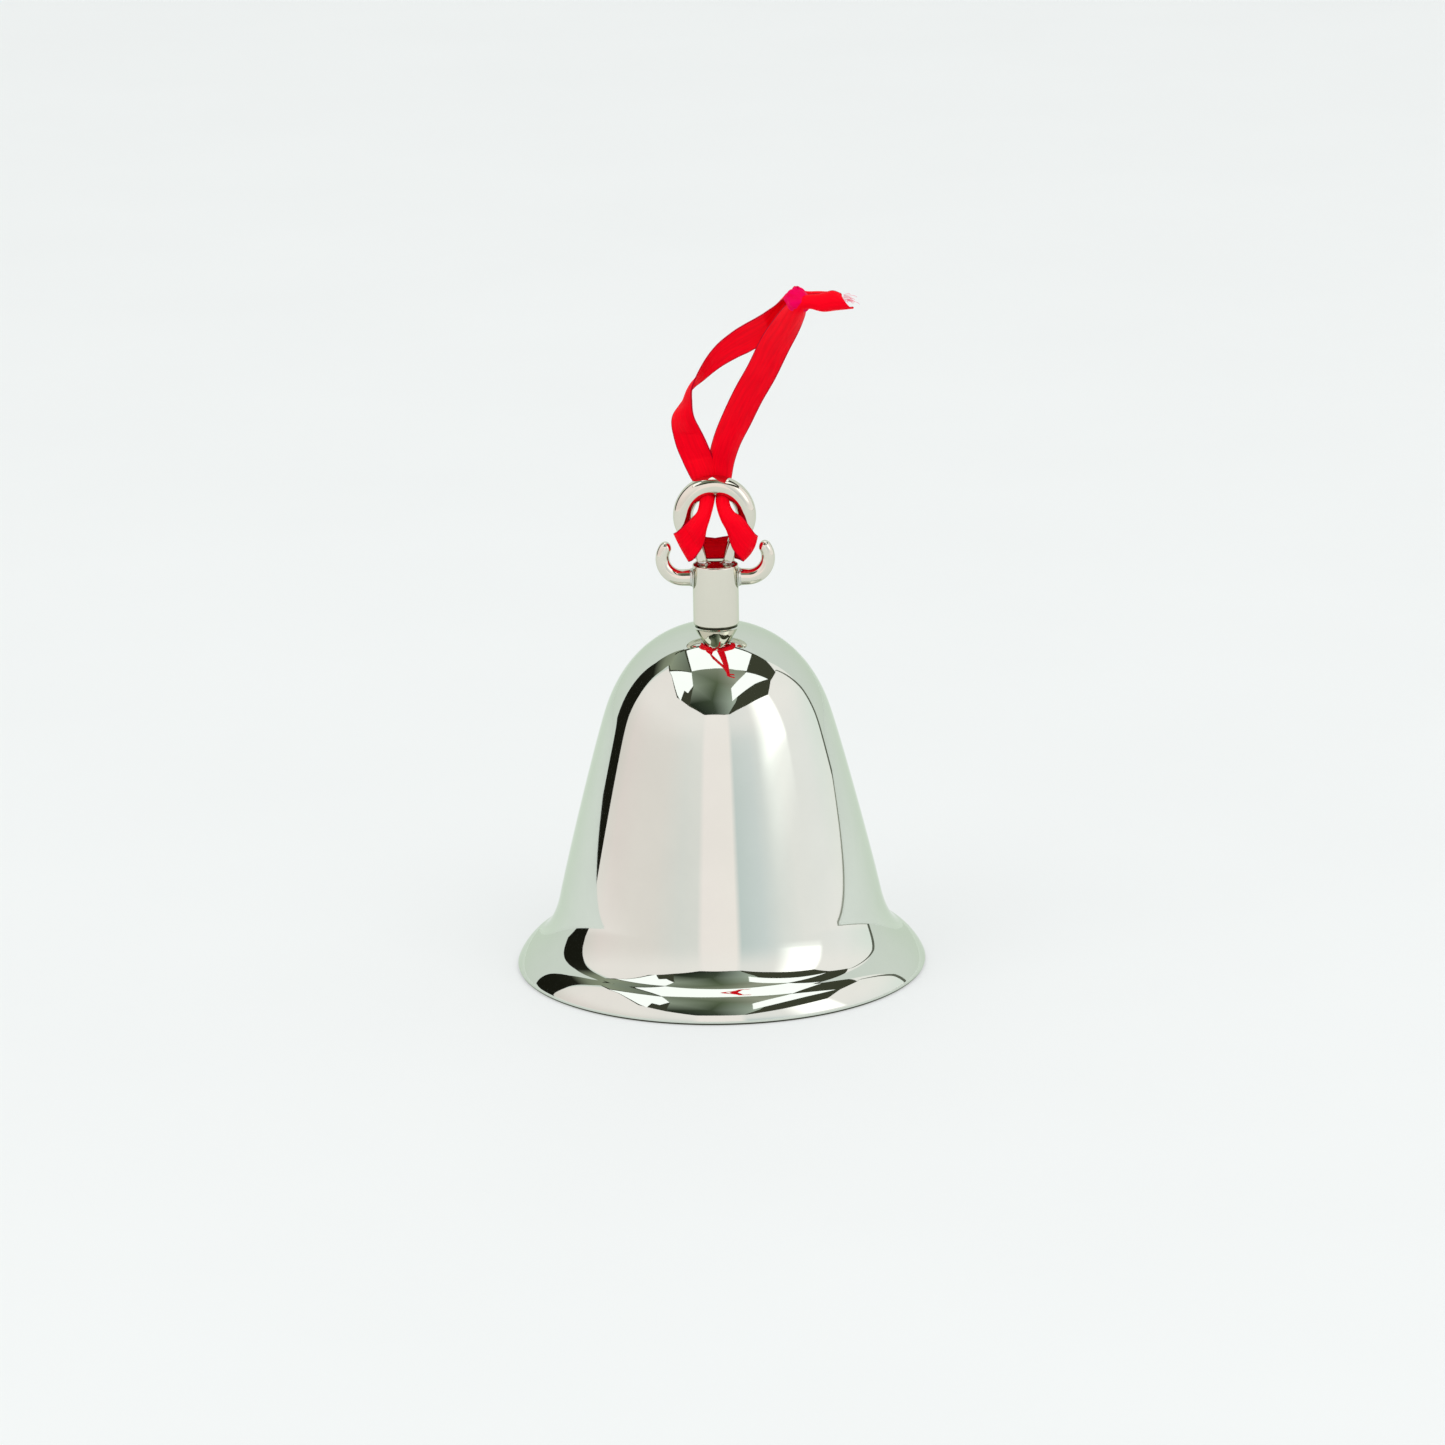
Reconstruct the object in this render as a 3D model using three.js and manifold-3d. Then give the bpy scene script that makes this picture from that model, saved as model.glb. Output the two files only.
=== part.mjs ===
// A bell-shaped tree ornament: a spun and polished shell with a turned post, a wire crown ring,
// two side hooks, a hanging clapper and a satin ribbon hitched round the ring's waist.
// Millimetres, +Z up. The origin is the centre of the rim's lower face, on the bell's axis.
// +X is the side the ribbon's tails point to, and -Y is the front.

import * as THREE from 'three';
import { mergeVertices } from 'three/addons/utils/BufferGeometryUtils.js';
import Module from 'manifold-3d';

const wasm = await Module();
wasm.setup();

// ---- driving dimensions ----------------------------------------------------------------------

const gap = 0.3; // clearance wherever two pieces meet

// Shell
const mouthDiameter = 64;
const shellHeight = 55; // rim to the top of the dome, before the seat is faced flat
const wall = 1.1;
const seatWall = 1.2; // between the two flat seats at the crown
const seatMargin = 0.175; // outer seat beyond the post
const innerSeatMargin = 0.3; // inner seat beyond the washer
const seatDrop = 0.3; // how far the seat lies below the dome's own top
const crownRadius = 8.7; // length of the level pull at the top of the dome
const shoulderRadius = 17.5;
const shoulderDrop = 13.8; // shoulder below the dome's top
const shoulderLean = 18; // degrees from upright
const waistReach = 6.8; // waist inside the mouth's edge
const waistHeight = 11.2;
const waistLean = 12;
const lipReach = 2.95; // where the flare rolls over, inside the mouth's edge
const lipRoll = 4.32; // height of that place
const lipLean = 61;
const flarePull = 3.4; // how far the waist's line runs on before the flare turns out
const rollPull = 1.9; // length of the level stretch either side of the roll
const edgePull = 0.5; // upright stretch above the widest line
const edgeHeight = 0.6; // height of the widest line
const edgeRound = 0.4; // rounding under it, inwards

// Post
const postDiameter = 7.1;
const postHeight = 9.5;
const postBevel = 0.25;
const boltDiameter = 3;
const boltDepth = 6.5; // thread length inside the post

// Crown ring
const ringRadius = 4.85; // centreline
const ringWire = 3.1;
const ringFootWire = 1.75;
const ringFootSpread = 2.05; // half the distance between the feet
const ringRise = 7.25; // ring centre above the post's top
const ringOpening = 36; // degrees below level where the ring runs into its legs

// Side hooks
const hookRadius = 3.1;
const hookWire = 2.7;
const hookTipWire = 1.5;
const hookSweep = 140; // degrees of arc
const hookStub = 1.2; // straight length before the arc
const hookDrop = 2.2; // centre of the wire's root below the post's top

// Eye bolt, washer and nut
const washerDiameter = 8;
const washerThickness = 0.6;
const nutAcrossFlats = 5.5;
const nutHeight = 2.4;
const boltShow = 1; // thread below the nut
const eyeRadius = 2.45;
const eyeWire = 1.5;

// Clapper
const linkWire = 1;
const linkLength = 6.6; // centreline, end to end
const linkWidth = 3.6; // centreline
const clapperEyeRadius = 1.8;
const clapperEyeWire = 1.2;
const clapperRodDiameter = 1.4;
const ballDiameter = 10;
const ballHeight = 13.5; // ball centre above the rim
const ballBore = 3; // depth of the rod's seat in the ball

// Ribbon
const ribbonThickness = 0.4;
const knotSize = [4.3, 3.4, 3.9];
const bandSteps = 3; // sections from one place on the ribbon's route to the next
const leanFrom = 80; // height where the ribbon starts to lean forwards
const leanReach = 31; // how far forwards the knot is carried
const leanCurve = 1.3; // 1 leans evenly, more starts upright
const leanRise = 0.21; // rise for each mm forwards
const leanDraw = 0.0011; // part of its width that the loop loses for each mm forwards

// Colours
const polished = { color: 0xe6e6e2, roughness: 0.04, metalness: 1 };
const nickel = { color: 0xc9c8c2, roughness: 0.25, metalness: 1 };
const satin = { color: 0xd6001f, roughness: 0.45, metalness: 0 };

// ---- helpers ---------------------------------------------------------------------------------

const radians = THREE.MathUtils.degToRad;
const vec = (x, y, z) => new THREE.Vector3(x, y, z);

function named(name, geometry, finish) {
  const mesh = new THREE.Mesh(geometry, new THREE.MeshStandardMaterial(finish));
  mesh.name = name;
  return mesh;
}

// A lathe turned about Z: points are (radius, height) pairs.
function turned(points, segments) {
  const profile = points.map(([r, z]) => new THREE.Vector2(r, z));
  return new THREE.LatheGeometry(profile, segments).rotateX(Math.PI / 2);
}

function circle(radius, sides) {
  const outline = new THREE.Shape();
  for (let i = 0; i <= sides; i++) {
    const angle = (2 * Math.PI * i) / sides;
    const place = [radius * Math.cos(angle), radius * Math.sin(angle)];
    if (i === 0) outline.moveTo(...place);
    else outline.lineTo(...place);
  }
  return outline;
}

// Round wire along a curve. thickness(t) is the wire's diameter at t, from 0 to 1 along it.
function wire(curve, steps, sides, thickness) {
  const section = circle(1, sides);
  const options = { steps, extrudePath: curve, bevelEnabled: false };
  const geometry = new THREE.ExtrudeGeometry(section, options);
  const centres = curve.getSpacedPoints(steps);
  const place = geometry.attributes.position;
  const point = new THREE.Vector3();
  for (let i = 0; i < place.count; i++) {
    point.fromBufferAttribute(place, i);
    const distances = centres.map((c) => c.distanceTo(point));
    const nearest = distances.indexOf(Math.min(...distances));
    const centre = centres[nearest];
    point.sub(centre).multiplyScalar(thickness(nearest / steps) / 2).add(centre);
    place.setXYZ(i, point.x, point.y, point.z);
  }
  return geometry;
}

// A point of the upright ribbon, carried forwards the more the further along it is. The ribbon
// rises two for each one to the right, so half of x counts as height.
function leaning([x, y, z]) {
  const full = knotPlace[2] + knotPlace[0] / 2 - leanFrom;
  const share = Math.min(1, Math.max(0, (z + x / 2 - leanFrom) / full));
  const forwards = leanReach * share ** leanCurve;
  return [x * (1 - leanDraw * forwards), y - forwards, z + leanRise * forwards];
}

// A flat band between two edges. A route is a list of places, each the band's upper or outer edge
// and then its other edge. The band runs from place `from` to place `to`, counted along the list.
function band(route, from, to) {
  const edges = [0, 1].map((side) => {
    const points = route.map((place) => vec(...leaning(place[side])));
    return new THREE.CatmullRomCurve3(points, false, 'catmullrom', 0.5);
  });
  const steps = Math.ceil((to - from) * bandSteps);
  const corners = [];
  for (let i = 0; i <= steps; i++) {
    const t = (from + ((to - from) * i) / steps) / (route.length - 1);
    const [upper, lower] = edges.map((edge) => edge.getPoint(t));
    const along = edges[0].getTangent(t).add(edges[1].getTangent(t));
    const across = lower.clone().sub(upper);
    const half = along.cross(across).setLength(ribbonThickness / 2);
    corners.push(upper.clone().sub(half), lower.clone().sub(half));
    corners.push(lower.clone().add(half), upper.clone().add(half));
  }
  const faces = [0, 2, 1, 0, 3, 2];
  for (let i = 0; i < steps; i++) {
    for (let j = 0; j < 4; j++) {
      const a = 4 * i + j;
      const b = 4 * i + ((j + 1) % 4);
      faces.push(a, b, b + 4, a, b + 4, a + 4);
    }
  }
  const end = 4 * steps;
  faces.push(end, end + 1, end + 2, end, end + 2, end + 3);
  const geometry = new THREE.BufferGeometry();
  geometry.setAttribute('position', new THREE.Float32BufferAttribute(
    corners.flatMap((c) => c.toArray()), 3));
  geometry.setIndex(faces);
  return geometry;
}

function solid(geometry) {
  const bare = geometry.clone();
  bare.deleteAttribute('normal');
  bare.deleteAttribute('uv');
  const merged = mergeVertices(bare, 1e-4);
  const vertProperties = new Float32Array(merged.attributes.position.array);
  const triVerts = new Uint32Array(merged.index.array);
  return new wasm.Manifold(new wasm.Mesh({ numProp: 3, vertProperties, triVerts }));
}

function surface(body) {
  const mesh = body.getMesh();
  const geometry = new THREE.BufferGeometry();
  geometry.setAttribute('position', new THREE.BufferAttribute(mesh.vertProperties, 3));
  geometry.setIndex(new THREE.BufferAttribute(mesh.triVerts, 1));
  return geometry;
}

const joined = (a, b) => surface(solid(a).add(solid(b)));
const cut = (a, b) => surface(solid(a).subtract(solid(b)));

function rod(diameter, bottom, top, sides = 24) {
  const shape = new THREE.CylinderGeometry(diameter / 2, diameter / 2, top - bottom, sides);
  return shape.rotateX(Math.PI / 2).translate(0, 0, (top + bottom) / 2);
}

// ---- heights that the pieces share -----------------------------------------------------------

const mouthRadius = mouthDiameter / 2;
const seatRadius = postDiameter / 2 + seatMargin;
const innerSeatRadius = washerDiameter / 2 + innerSeatMargin;
const seatTop = shellHeight - seatDrop;
const seatUnder = seatTop - seatWall;
const boltHole = boltDiameter + 2 * gap;
const postFoot = seatTop + gap;
const postTop = postFoot + postHeight;
const washerTop = seatUnder - gap;
const nutTop = washerTop - washerThickness - gap;
const boltEnd = nutTop - nutHeight - boltShow;
const eyeCentre = boltEnd - eyeRadius;
const linkTop = eyeCentre - eyeRadius + (eyeWire + linkWire) / 2 + gap;
const linkBottom = linkTop - linkLength;
const clapperPivot = linkBottom + (linkWire + clapperEyeWire) / 2 + gap;
const clapperEyeCentre = clapperPivot - clapperEyeRadius;
const ringCentre = postTop + gap + ringRise;

// ---- shell -----------------------------------------------------------------------------------

// A curve from one place on the outline to the next, leaving and arriving at the given leans.
function sweep(from, fromLean, fromPull, to, toLean, toPull) {
  const down = (lean) => new THREE.Vector2(Math.sin(radians(lean)), -Math.cos(radians(lean)));
  const a = from.clone().addScaledVector(down(fromLean), fromPull);
  const b = to.clone().addScaledVector(down(toLean), -toPull);
  return new THREE.CubicBezierCurve(from, a, b, to);
}

function shellOutline() {
  const top = new THREE.Vector2(0, shellHeight);
  const shoulder = new THREE.Vector2(shoulderRadius, shellHeight - shoulderDrop);
  const waist = new THREE.Vector2(mouthRadius - waistReach, waistHeight);
  const roll = new THREE.Vector2(mouthRadius - lipReach, lipRoll);
  const edge = new THREE.Vector2(mouthRadius, edgeHeight);
  const side = shoulder.distanceTo(waist);
  return [
    sweep(top, 90, crownRadius, shoulder, shoulderLean, crownRadius).getPoints(11),
    sweep(shoulder, shoulderLean, side / 6, waist, waistLean, side / 4).getPoints(6),
    sweep(waist, waistLean, flarePull, roll, lipLean, rollPull).getPoints(7),
    sweep(roll, lipLean, rollPull, edge, 0, edgePull).getPoints(6),
  ].flatMap((points, i) => (i === 0 ? points : points.slice(1)));
}

function shell() {
  const outline = shellOutline();
  const outer = outline.filter((p) => p.x > seatRadius).map((p) => [p.x, p.y]);
  const inner = [];
  for (let i = 1; i < outline.length - 1; i++) {
    const along = outline[i + 1].clone().sub(outline[i - 1]).normalize();
    const place = [outline[i].x + along.y * wall, outline[i].y - along.x * wall];
    if (place[0] > innerSeatRadius && place[1] > wall && place[1] < seatUnder) inner.push(place);
  }
  const insideEdge = mouthRadius - wall - edgeRound / 2;
  const profile = [
    [boltHole / 2, seatTop],
    [seatRadius, seatTop],
    ...outer,
    [mouthRadius - edgeRound / 4, edgeRound / 4],
    [mouthRadius - edgeRound, 0],
    [insideEdge, 0],
    ...inner.reverse(),
    [innerSeatRadius, seatUnder],
    [boltHole / 2, seatUnder],
    [boltHole / 2, seatTop],
  ];
  return turned(profile.reverse(), 48);
}

// ---- crown -----------------------------------------------------------------------------------

function post() {
  const radius = postDiameter / 2;
  const bore = boltHole / 2;
  const boreEnd = postFoot + boltDepth;
  return turned([
    [bore, postFoot],
    [radius - postBevel, postFoot],
    [radius, postFoot + postBevel],
    [radius, postTop - postBevel],
    [radius - postBevel, postTop],
    [0, postTop],
    [0, boreEnd + bore / 2],
    [bore, boreEnd],
    [bore, postFoot],
  ], 40);
}

// One leg up, round the ring and down the other leg.
function ringCurve() {
  const foot = postTop + gap;
  const open = radians(ringOpening);
  const joinX = ringRadius * Math.cos(open);
  const joinZ = ringCentre - ringRadius * Math.sin(open);
  const pull = (joinZ - foot) * 0.38;
  const leg = (side) => new THREE.CubicBezierCurve3(
    vec(side * ringFootSpread, 0, foot),
    vec(side * (ringFootSpread + pull * 0.12), 0, foot + pull),
    vec(side * (joinX - pull * Math.sin(open)), 0, joinZ - pull * Math.cos(open)),
    vec(side * joinX, 0, joinZ),
  ).getPoints(12);
  const turns = 36;
  const round = [];
  for (let i = 1; i < turns; i++) {
    const angle = Math.PI + open - ((Math.PI + 2 * open) * i) / turns;
    round.push(vec(ringRadius * Math.cos(angle), 0, ringCentre + ringRadius * Math.sin(angle)));
  }
  return new THREE.CatmullRomCurve3([...leg(-1), ...round, ...leg(1).reverse()]);
}

function crownRing() {
  const taper = 0.24; // share of the wire that each leg's taper takes up
  const thickness = (t) => {
    const fromEnd = Math.min(t, 1 - t) / taper;
    const full = THREE.MathUtils.smoothstep(fromEnd, 0, 1);
    return THREE.MathUtils.lerp(ringFootWire, ringWire, full);
  };
  return wire(ringCurve(), 46, 10, thickness);
}

function hook(side) {
  const start = postDiameter / 2 + gap;
  const level = postTop - hookDrop;
  const points = [vec(side * start, 0, level), vec(side * (start + hookStub / 2), 0, level)];
  const bends = 12;
  for (let i = 0; i <= bends; i++) {
    const angle = radians((hookSweep * i) / bends);
    const reach = start + hookStub + hookRadius * Math.sin(angle);
    points.push(vec(side * reach, 0, level + hookRadius * (1 - Math.cos(angle))));
  }
  const curve = new THREE.CatmullRomCurve3(points);
  const thickness = (t) => {
    const rounding = t > 0.96 ? 0.6 : 1;
    return THREE.MathUtils.lerp(hookWire, hookTipWire, t) * rounding;
  };
  return wire(curve, 20, 8, thickness);
}

// ---- eye bolt, washer, nut -------------------------------------------------------------------

function eyeBolt() {
  const top = postFoot + boltDepth - gap;
  const shank = rod(boltDiameter, boltEnd - eyeWire / 2, top);
  const eye = new THREE.TorusGeometry(eyeRadius, eyeWire / 2, 8, 24);
  return joined(shank, eye.rotateX(Math.PI / 2).translate(0, 0, eyeCentre));
}

function washer() {
  const bottom = washerTop - washerThickness;
  const hole = boltHole / 2;
  const outside = washerDiameter / 2;
  return turned([
    [hole, bottom], [outside, bottom], [outside, washerTop], [hole, washerTop], [hole, bottom],
  ], 32);
}

function lockNut() {
  const corner = nutAcrossFlats / Math.cos(Math.PI / 6);
  const hex = rod(corner, nutTop - nutHeight, nutTop, 6);
  return cut(hex, rod(boltHole, nutTop - nutHeight - 1, nutTop + 1));
}

// ---- clapper ---------------------------------------------------------------------------------

// A long link in the YZ plane, closed on itself.
function link() {
  const half = linkWidth / 2;
  const straight = linkLength / 2 - half;
  const points = [];
  const bends = 10;
  for (const end of [1, -1]) {
    for (let i = 0; i <= bends; i++) {
      const angle = (Math.PI * i) / bends;
      points.push(vec(0, end * half * Math.cos(angle), end * (straight + half * Math.sin(angle))));
    }
  }
  const loop = new THREE.CatmullRomCurve3(points, true, 'centripetal');
  const full = new THREE.ExtrudeGeometry(circle(linkWire / 2, 8), {
    steps: 32, extrudePath: loop, bevelEnabled: false,
  });
  return closedLoop(full).translate(0, 0, (linkTop + linkBottom) / 2);
}

// Takes the two flat ends off an extrusion whose path closes, so that its sides meet.
function closedLoop(extrusion) {
  const sides = extrusion.groups.find((g) => g.materialIndex === 1);
  const open = new THREE.BufferGeometry();
  const numbers = extrusion.attributes.position.array;
  const kept = numbers.slice(sides.start * 3, (sides.start + sides.count) * 3);
  open.setAttribute('position', new THREE.BufferAttribute(kept, 3));
  return mergeVertices(open, 1e-3);
}

function clapperRod() {
  const low = ballHeight + ballDiameter / 2 - ballBore + gap;
  const high = clapperEyeCentre - clapperEyeRadius;
  const eye = new THREE.TorusGeometry(clapperEyeRadius, clapperEyeWire / 2, 8, 20);
  eye.rotateX(Math.PI / 2).translate(0, 0, clapperEyeCentre);
  return joined(rod(clapperRodDiameter, low, high, 16), eye);
}

function clapperBall() {
  const ball = new THREE.SphereGeometry(ballDiameter / 2, 20, 14).rotateX(Math.PI / 2);
  ball.translate(0, 0, ballHeight);
  const top = ballHeight + ballDiameter / 2;
  return cut(ball, rod(clapperRodDiameter + 2 * gap, top - ballBore, top + 1, 16));
}

// ---- ribbon ----------------------------------------------------------------------------------

// The ribbon goes behind the ring's legs, round both of them to the front, back through the ring
// and up behind its top to the knot, which its two tails leave. Each half starts behind the legs.
// Every place is chosen by hand, as the ribbon's two edges, with the ribbon upright: the lean
// comes after. It is narrower where it is crushed.

const leftRoute = [
  [[0, 2.1, 67.9], [0, 2.1, 64.75]],
  [[-2.2, 2.2, 68.2], [-1.9, 2.1, 64.75]],
  [[-4.7, 1.7, 69.0], [-3.3, 1.6, 64.9]],
  [[-6.3, 0, 69.3], [-4.1, 0, 64.85]],
  [[-5.6, -1.7, 70.2], [-3.3, -1.6, 65.6]],
  [[-4.4, -2.25, 71.4], [-2.0, -2.2, 67.6]],
  [[-3.4, -2.2, 72.3], [-1.45, -2.2, 69.6]],
  [[-2.6, -1.7, 73.1], [-1.2, -1.8, 71.6]],
  [[-2.2, -0.4, 74.2], [-0.6, -0.5, 73.4]],
  [[-2.3, 1.5, 74.6], [0.0, 1.5, 74.4]],
  [[-2.9, 2.3, 76.4], [0.4, 2.3, 76.6]],
  [[-3.7, 2.3, 77.9], [0.4, 2.3, 78.6]],
  [[-4.7, 2.3, 80.0], [-0.1, 2.3, 80.7]],
  [[-5.7, 2.3, 82.6], [-1.0, 2.3, 83.1]],
  [[-6.3, 2.6, 85.4], [-2.0, 2.4, 85.3]],
  [[-6.2, 3.1, 87.2], [-2.9, 1.6, 87.5]],
  [[-5.2, 3.7, 88.7], [-3.2, 1.4, 89.8]],
  [[-3.0, 4.1, 91.3], [-3.0, 0.9, 92.5]],
  [[-1.2, 3.4, 92.9], [-1.3, 2.4, 95.8]],
  [[1.3, 3.0, 94.9], [0.6, 3.0, 98.2]],
  [[3.9, 2.8, 96.4], [2.9, 3.5, 100.0]],
  [[6.0, 2.7, 97.4], [4.7, 3.7, 101.1]],
  [[8.4, 2.7, 98.9], [7.0, 3.4, 102.4]],
  [[10.4, 2.7, 101.4], [9.3, 2.8, 103.9]],
  [[12.1, 2.5, 104.0], [11.3, 2.3, 105.4]],
  [[13.3, 1.7, 104.8], [13.0, 1.7, 105.9]],
  [[15.2, 2.2, 104.6], [15.2, 2.2, 105.9]],
  [[17.2, 2.7, 103.8], [17.2, 2.3, 106.0]],
  [[18.9, 2.9, 103.7], [18.9, 2.5, 105.8]],
  [[20.4, 3.0, 103.9], [19.8, 2.6, 105.5]],
];

const rightRoute = [
  [[0, 2.1, 67.9], [0, 2.1, 64.75]],
  [[2.2, 2.2, 68.2], [1.9, 2.1, 64.75]],
  [[4.9, 1.7, 68.6], [3.3, 1.6, 64.8]],
  [[6.5, 0, 68.7], [4.25, 0, 64.75]],
  [[6.1, -1.7, 69.6], [3.9, -1.6, 65.5]],
  [[5.2, -2.3, 71.0], [2.7, -2.2, 67.4]],
  [[4.2, -2.3, 72.3], [2.1, -2.2, 69.4]],
  [[3.0, -1.9, 73.0], [1.5, -1.8, 71.4]],
  [[2.2, -0.5, 73.9], [0.9, -0.5, 73.3]],
  [[2.2, 1.6, 74.5], [0.6, 1.7, 74.3]],
  [[2.5, 2.9, 76.4], [-0.4, 2.9, 76.4]],
  [[2.7, 3.1, 77.6], [-0.8, 3.0, 77.8]],
  [[3.2, 3.0, 80.0], [-0.6, 3.0, 80.9]],
  [[4.2, 2.6, 82.9], [0.2, 2.6, 84.2]],
  [[5.8, 2.0, 86.1], [1.6, 2.0, 87.9]],
  [[7.6, 1.5, 89.8], [3.5, 1.5, 92.0]],
  [[9.7, 1.2, 93.5], [5.55, 1.2, 95.7]],
  [[11.75, 1.0, 97.7], [7.6, 1.0, 99.8]],
  [[13.3, 1.0, 100.7], [9.6, 1.0, 102.6]],
  [[14.2, 1.1, 102.9], [11.2, 1.1, 104.4]],
  [[14.5, 1.3, 104.3], [12.5, 1.3, 105.4]],
  [[14.3, 1.4, 104.6], [13.6, 1.4, 105.9]],
  [[15.4, 1.0, 104.6], [15.2, 1.0, 106.0]],
  [[17.2, 0.6, 103.9], [17.2, 0.4, 106.5]],
  [[19.3, 0.3, 104.1], [18.6, 0.0, 106.9]],
  [[21.7, 0.2, 104.4], [19.9, -0.1, 106.5]],
];

const hitchRoute = [...rightRoute.slice(1, 4).reverse(), ...leftRoute.slice(0, 4)];
const knotPlace = [13.3, 1.5, 105.4];

function knot() {
  const lump = new THREE.SphereGeometry(0.5, 12, 8).rotateX(Math.PI / 2);
  return lump.scale(...knotSize).translate(...leaning(knotPlace));
}

// ---- assembly --------------------------------------------------------------------------------

const crown = new THREE.Group();
crown.add(
  named('post', post(), polished),
  named('crown_ring', crownRing(), polished),
  named('hook_left', hook(-1), polished),
  named('hook_right', hook(1), polished),
);

const fixing = new THREE.Group();
fixing.add(
  named('eye_bolt', eyeBolt(), nickel),
  named('crown_washer', washer(), nickel),
  named('lock_nut', lockNut(), nickel),
);

const clapper = new THREE.Group();
clapper.add(
  named('clapper_link', link(), nickel),
  named('clapper_rod', clapperRod(), nickel),
  named('clapper_ball', clapperBall(), nickel),
);

const ribbon = new THREE.Group();
ribbon.add(
  named('ribbon_hitch', band(hitchRoute, 0, hitchRoute.length - 1), satin),
  named('ribbon_left_strand', band(leftRoute, 3.2, 23.2), satin),
  named('ribbon_right_strand', band(rightRoute, 3.2, 18.9), satin),
  named('ribbon_knot', knot(), satin),
  named('ribbon_front_tail', band(rightRoute, 22.5, 25), satin),
  named('ribbon_back_tail', band(leftRoute, 26.5, 29), satin),
);

const group = new THREE.Group();
group.add(named('bell_shell', shell(), polished), crown, fixing, clapper, ribbon);

export default group;
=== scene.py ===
"""A polished bell ornament with its ribbon, standing on a pale studio floor.

Lengths are metres and angles are degrees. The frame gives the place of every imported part; each


class below holds one sub-assembly's own sizes, builds its surfaces with numpy and dresses them.
"""

import logging
import math
from dataclasses import dataclass, field, replace
from enum import Enum

import bpy
import numpy as np
from mathutils import Matrix, Vector

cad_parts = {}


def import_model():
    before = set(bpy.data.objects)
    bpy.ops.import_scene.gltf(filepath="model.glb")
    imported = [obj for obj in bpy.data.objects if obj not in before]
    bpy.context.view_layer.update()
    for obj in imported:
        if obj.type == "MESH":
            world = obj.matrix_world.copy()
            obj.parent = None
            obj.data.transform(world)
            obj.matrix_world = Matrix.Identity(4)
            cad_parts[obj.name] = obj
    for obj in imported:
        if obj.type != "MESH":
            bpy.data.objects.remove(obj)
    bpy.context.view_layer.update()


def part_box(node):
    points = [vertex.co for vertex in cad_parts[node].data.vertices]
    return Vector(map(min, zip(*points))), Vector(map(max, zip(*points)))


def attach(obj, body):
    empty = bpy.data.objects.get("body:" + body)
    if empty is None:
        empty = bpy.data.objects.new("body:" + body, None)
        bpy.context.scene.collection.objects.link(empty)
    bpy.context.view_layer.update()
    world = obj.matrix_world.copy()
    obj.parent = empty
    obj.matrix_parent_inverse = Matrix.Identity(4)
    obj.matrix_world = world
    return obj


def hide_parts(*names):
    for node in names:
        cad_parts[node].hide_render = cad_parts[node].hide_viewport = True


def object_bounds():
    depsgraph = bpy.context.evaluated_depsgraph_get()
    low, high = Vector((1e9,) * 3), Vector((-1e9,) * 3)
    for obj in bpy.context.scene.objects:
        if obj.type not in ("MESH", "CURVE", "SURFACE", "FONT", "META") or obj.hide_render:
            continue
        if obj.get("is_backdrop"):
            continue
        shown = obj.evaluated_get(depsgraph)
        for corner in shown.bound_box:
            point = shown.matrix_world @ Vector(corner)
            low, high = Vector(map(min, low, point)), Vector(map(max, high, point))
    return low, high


log = logging.getLogger("bell")
MM = 0.001
Array = np.ndarray
UP, BACK = np.array([0, 0, 1.0]), np.array([0, 1.0, 0])


# ---- surfaces ----


def unit(vectors: Array) -> Array:
    """Scales each vector along the last axis to length one."""
    return vectors / np.maximum(np.linalg.norm(vectors, axis=-1, keepdims=True), 1e-12)


def bezier(start: Array, pull_a: Array, pull_b: Array, end: Array, count: int) -> Array:
    """Points of a cubic curve: the sum of the four corners, each times its cubic weight.

    Args:
        start, pull_a, pull_b, end: the curve's four corners.
        count: number of points, both ends included.

    Returns:
        A (count, n) array.
    """
    t = np.linspace(0.0, 1.0, count)[:, None]
    s = 1.0 - t
    return s**3 * start + 3 * s**2 * t * pull_a + 3 * s * t**2 * pull_b + t**3 * end


def through(points: Array, steps: int) -> Array:
    """A smooth line through points: between two of them, a cubic whose slope at each is half the
    way from the point before to the point after.

    Args:
        points: (n, k) array of places.
        steps: pieces that each stretch is cut into.

    Returns:
        A ((n - 1) * steps + 1, k) array.
    """
    padded = np.vstack([2 * points[0] - points[1], points, 2 * points[-1] - points[-2]])
    t = (np.arange(steps) / steps)[None, :, None]
    before, a, b, after = (padded[i : len(padded) - 3 + i][:, None, :] for i in range(4))
    line = 0.5 * (
        2 * a
        + (b - before) * t
        + (2 * before - 5 * a + 4 * b - after) * t**2
        + (3 * a - before - 3 * b + after) * t**3
    )
    return np.vstack([line.reshape(-1, points.shape[1]), points[-1:]])


def travelled(line: Array) -> Array:
    """Distance along a line at each of its points."""
    return np.concatenate([[0.0], np.cumsum(np.linalg.norm(np.diff(line, axis=0), axis=1))])


def evenly(line: Array, count: int) -> Array:
    """The same line with count points at equal distances along it.

    Args:
        line: (n, k) points.
        count: how many points to give.

    Returns:
        A (count, k) array.
    """
    far = travelled(line)
    at = np.linspace(0.0, far[-1], count)
    return np.stack([np.interp(at, far, line[:, k]) for k in range(line.shape[1])], axis=1)


def frames(line: Array, side: Array, closed: bool = False) -> tuple[Array, Array]:
    """Two directions across a line at each point, the first kept as near to side as it can be.

    Args:
        line: (n, 3) centre points.
        side: a direction that is never along the line.
        closed: whether the last point runs on into the first.

    Returns:
        Two (n, 3) arrays of unit vectors, at right angles to the line and to each other.
    """
    if closed:
        along = unit(np.roll(line, -1, axis=0) - np.roll(line, 1, axis=0))
    else:
        along = unit(np.gradient(line, axis=0))
    first = unit(side - along * (along @ side)[:, None])
    return first, np.cross(along, first)


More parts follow.
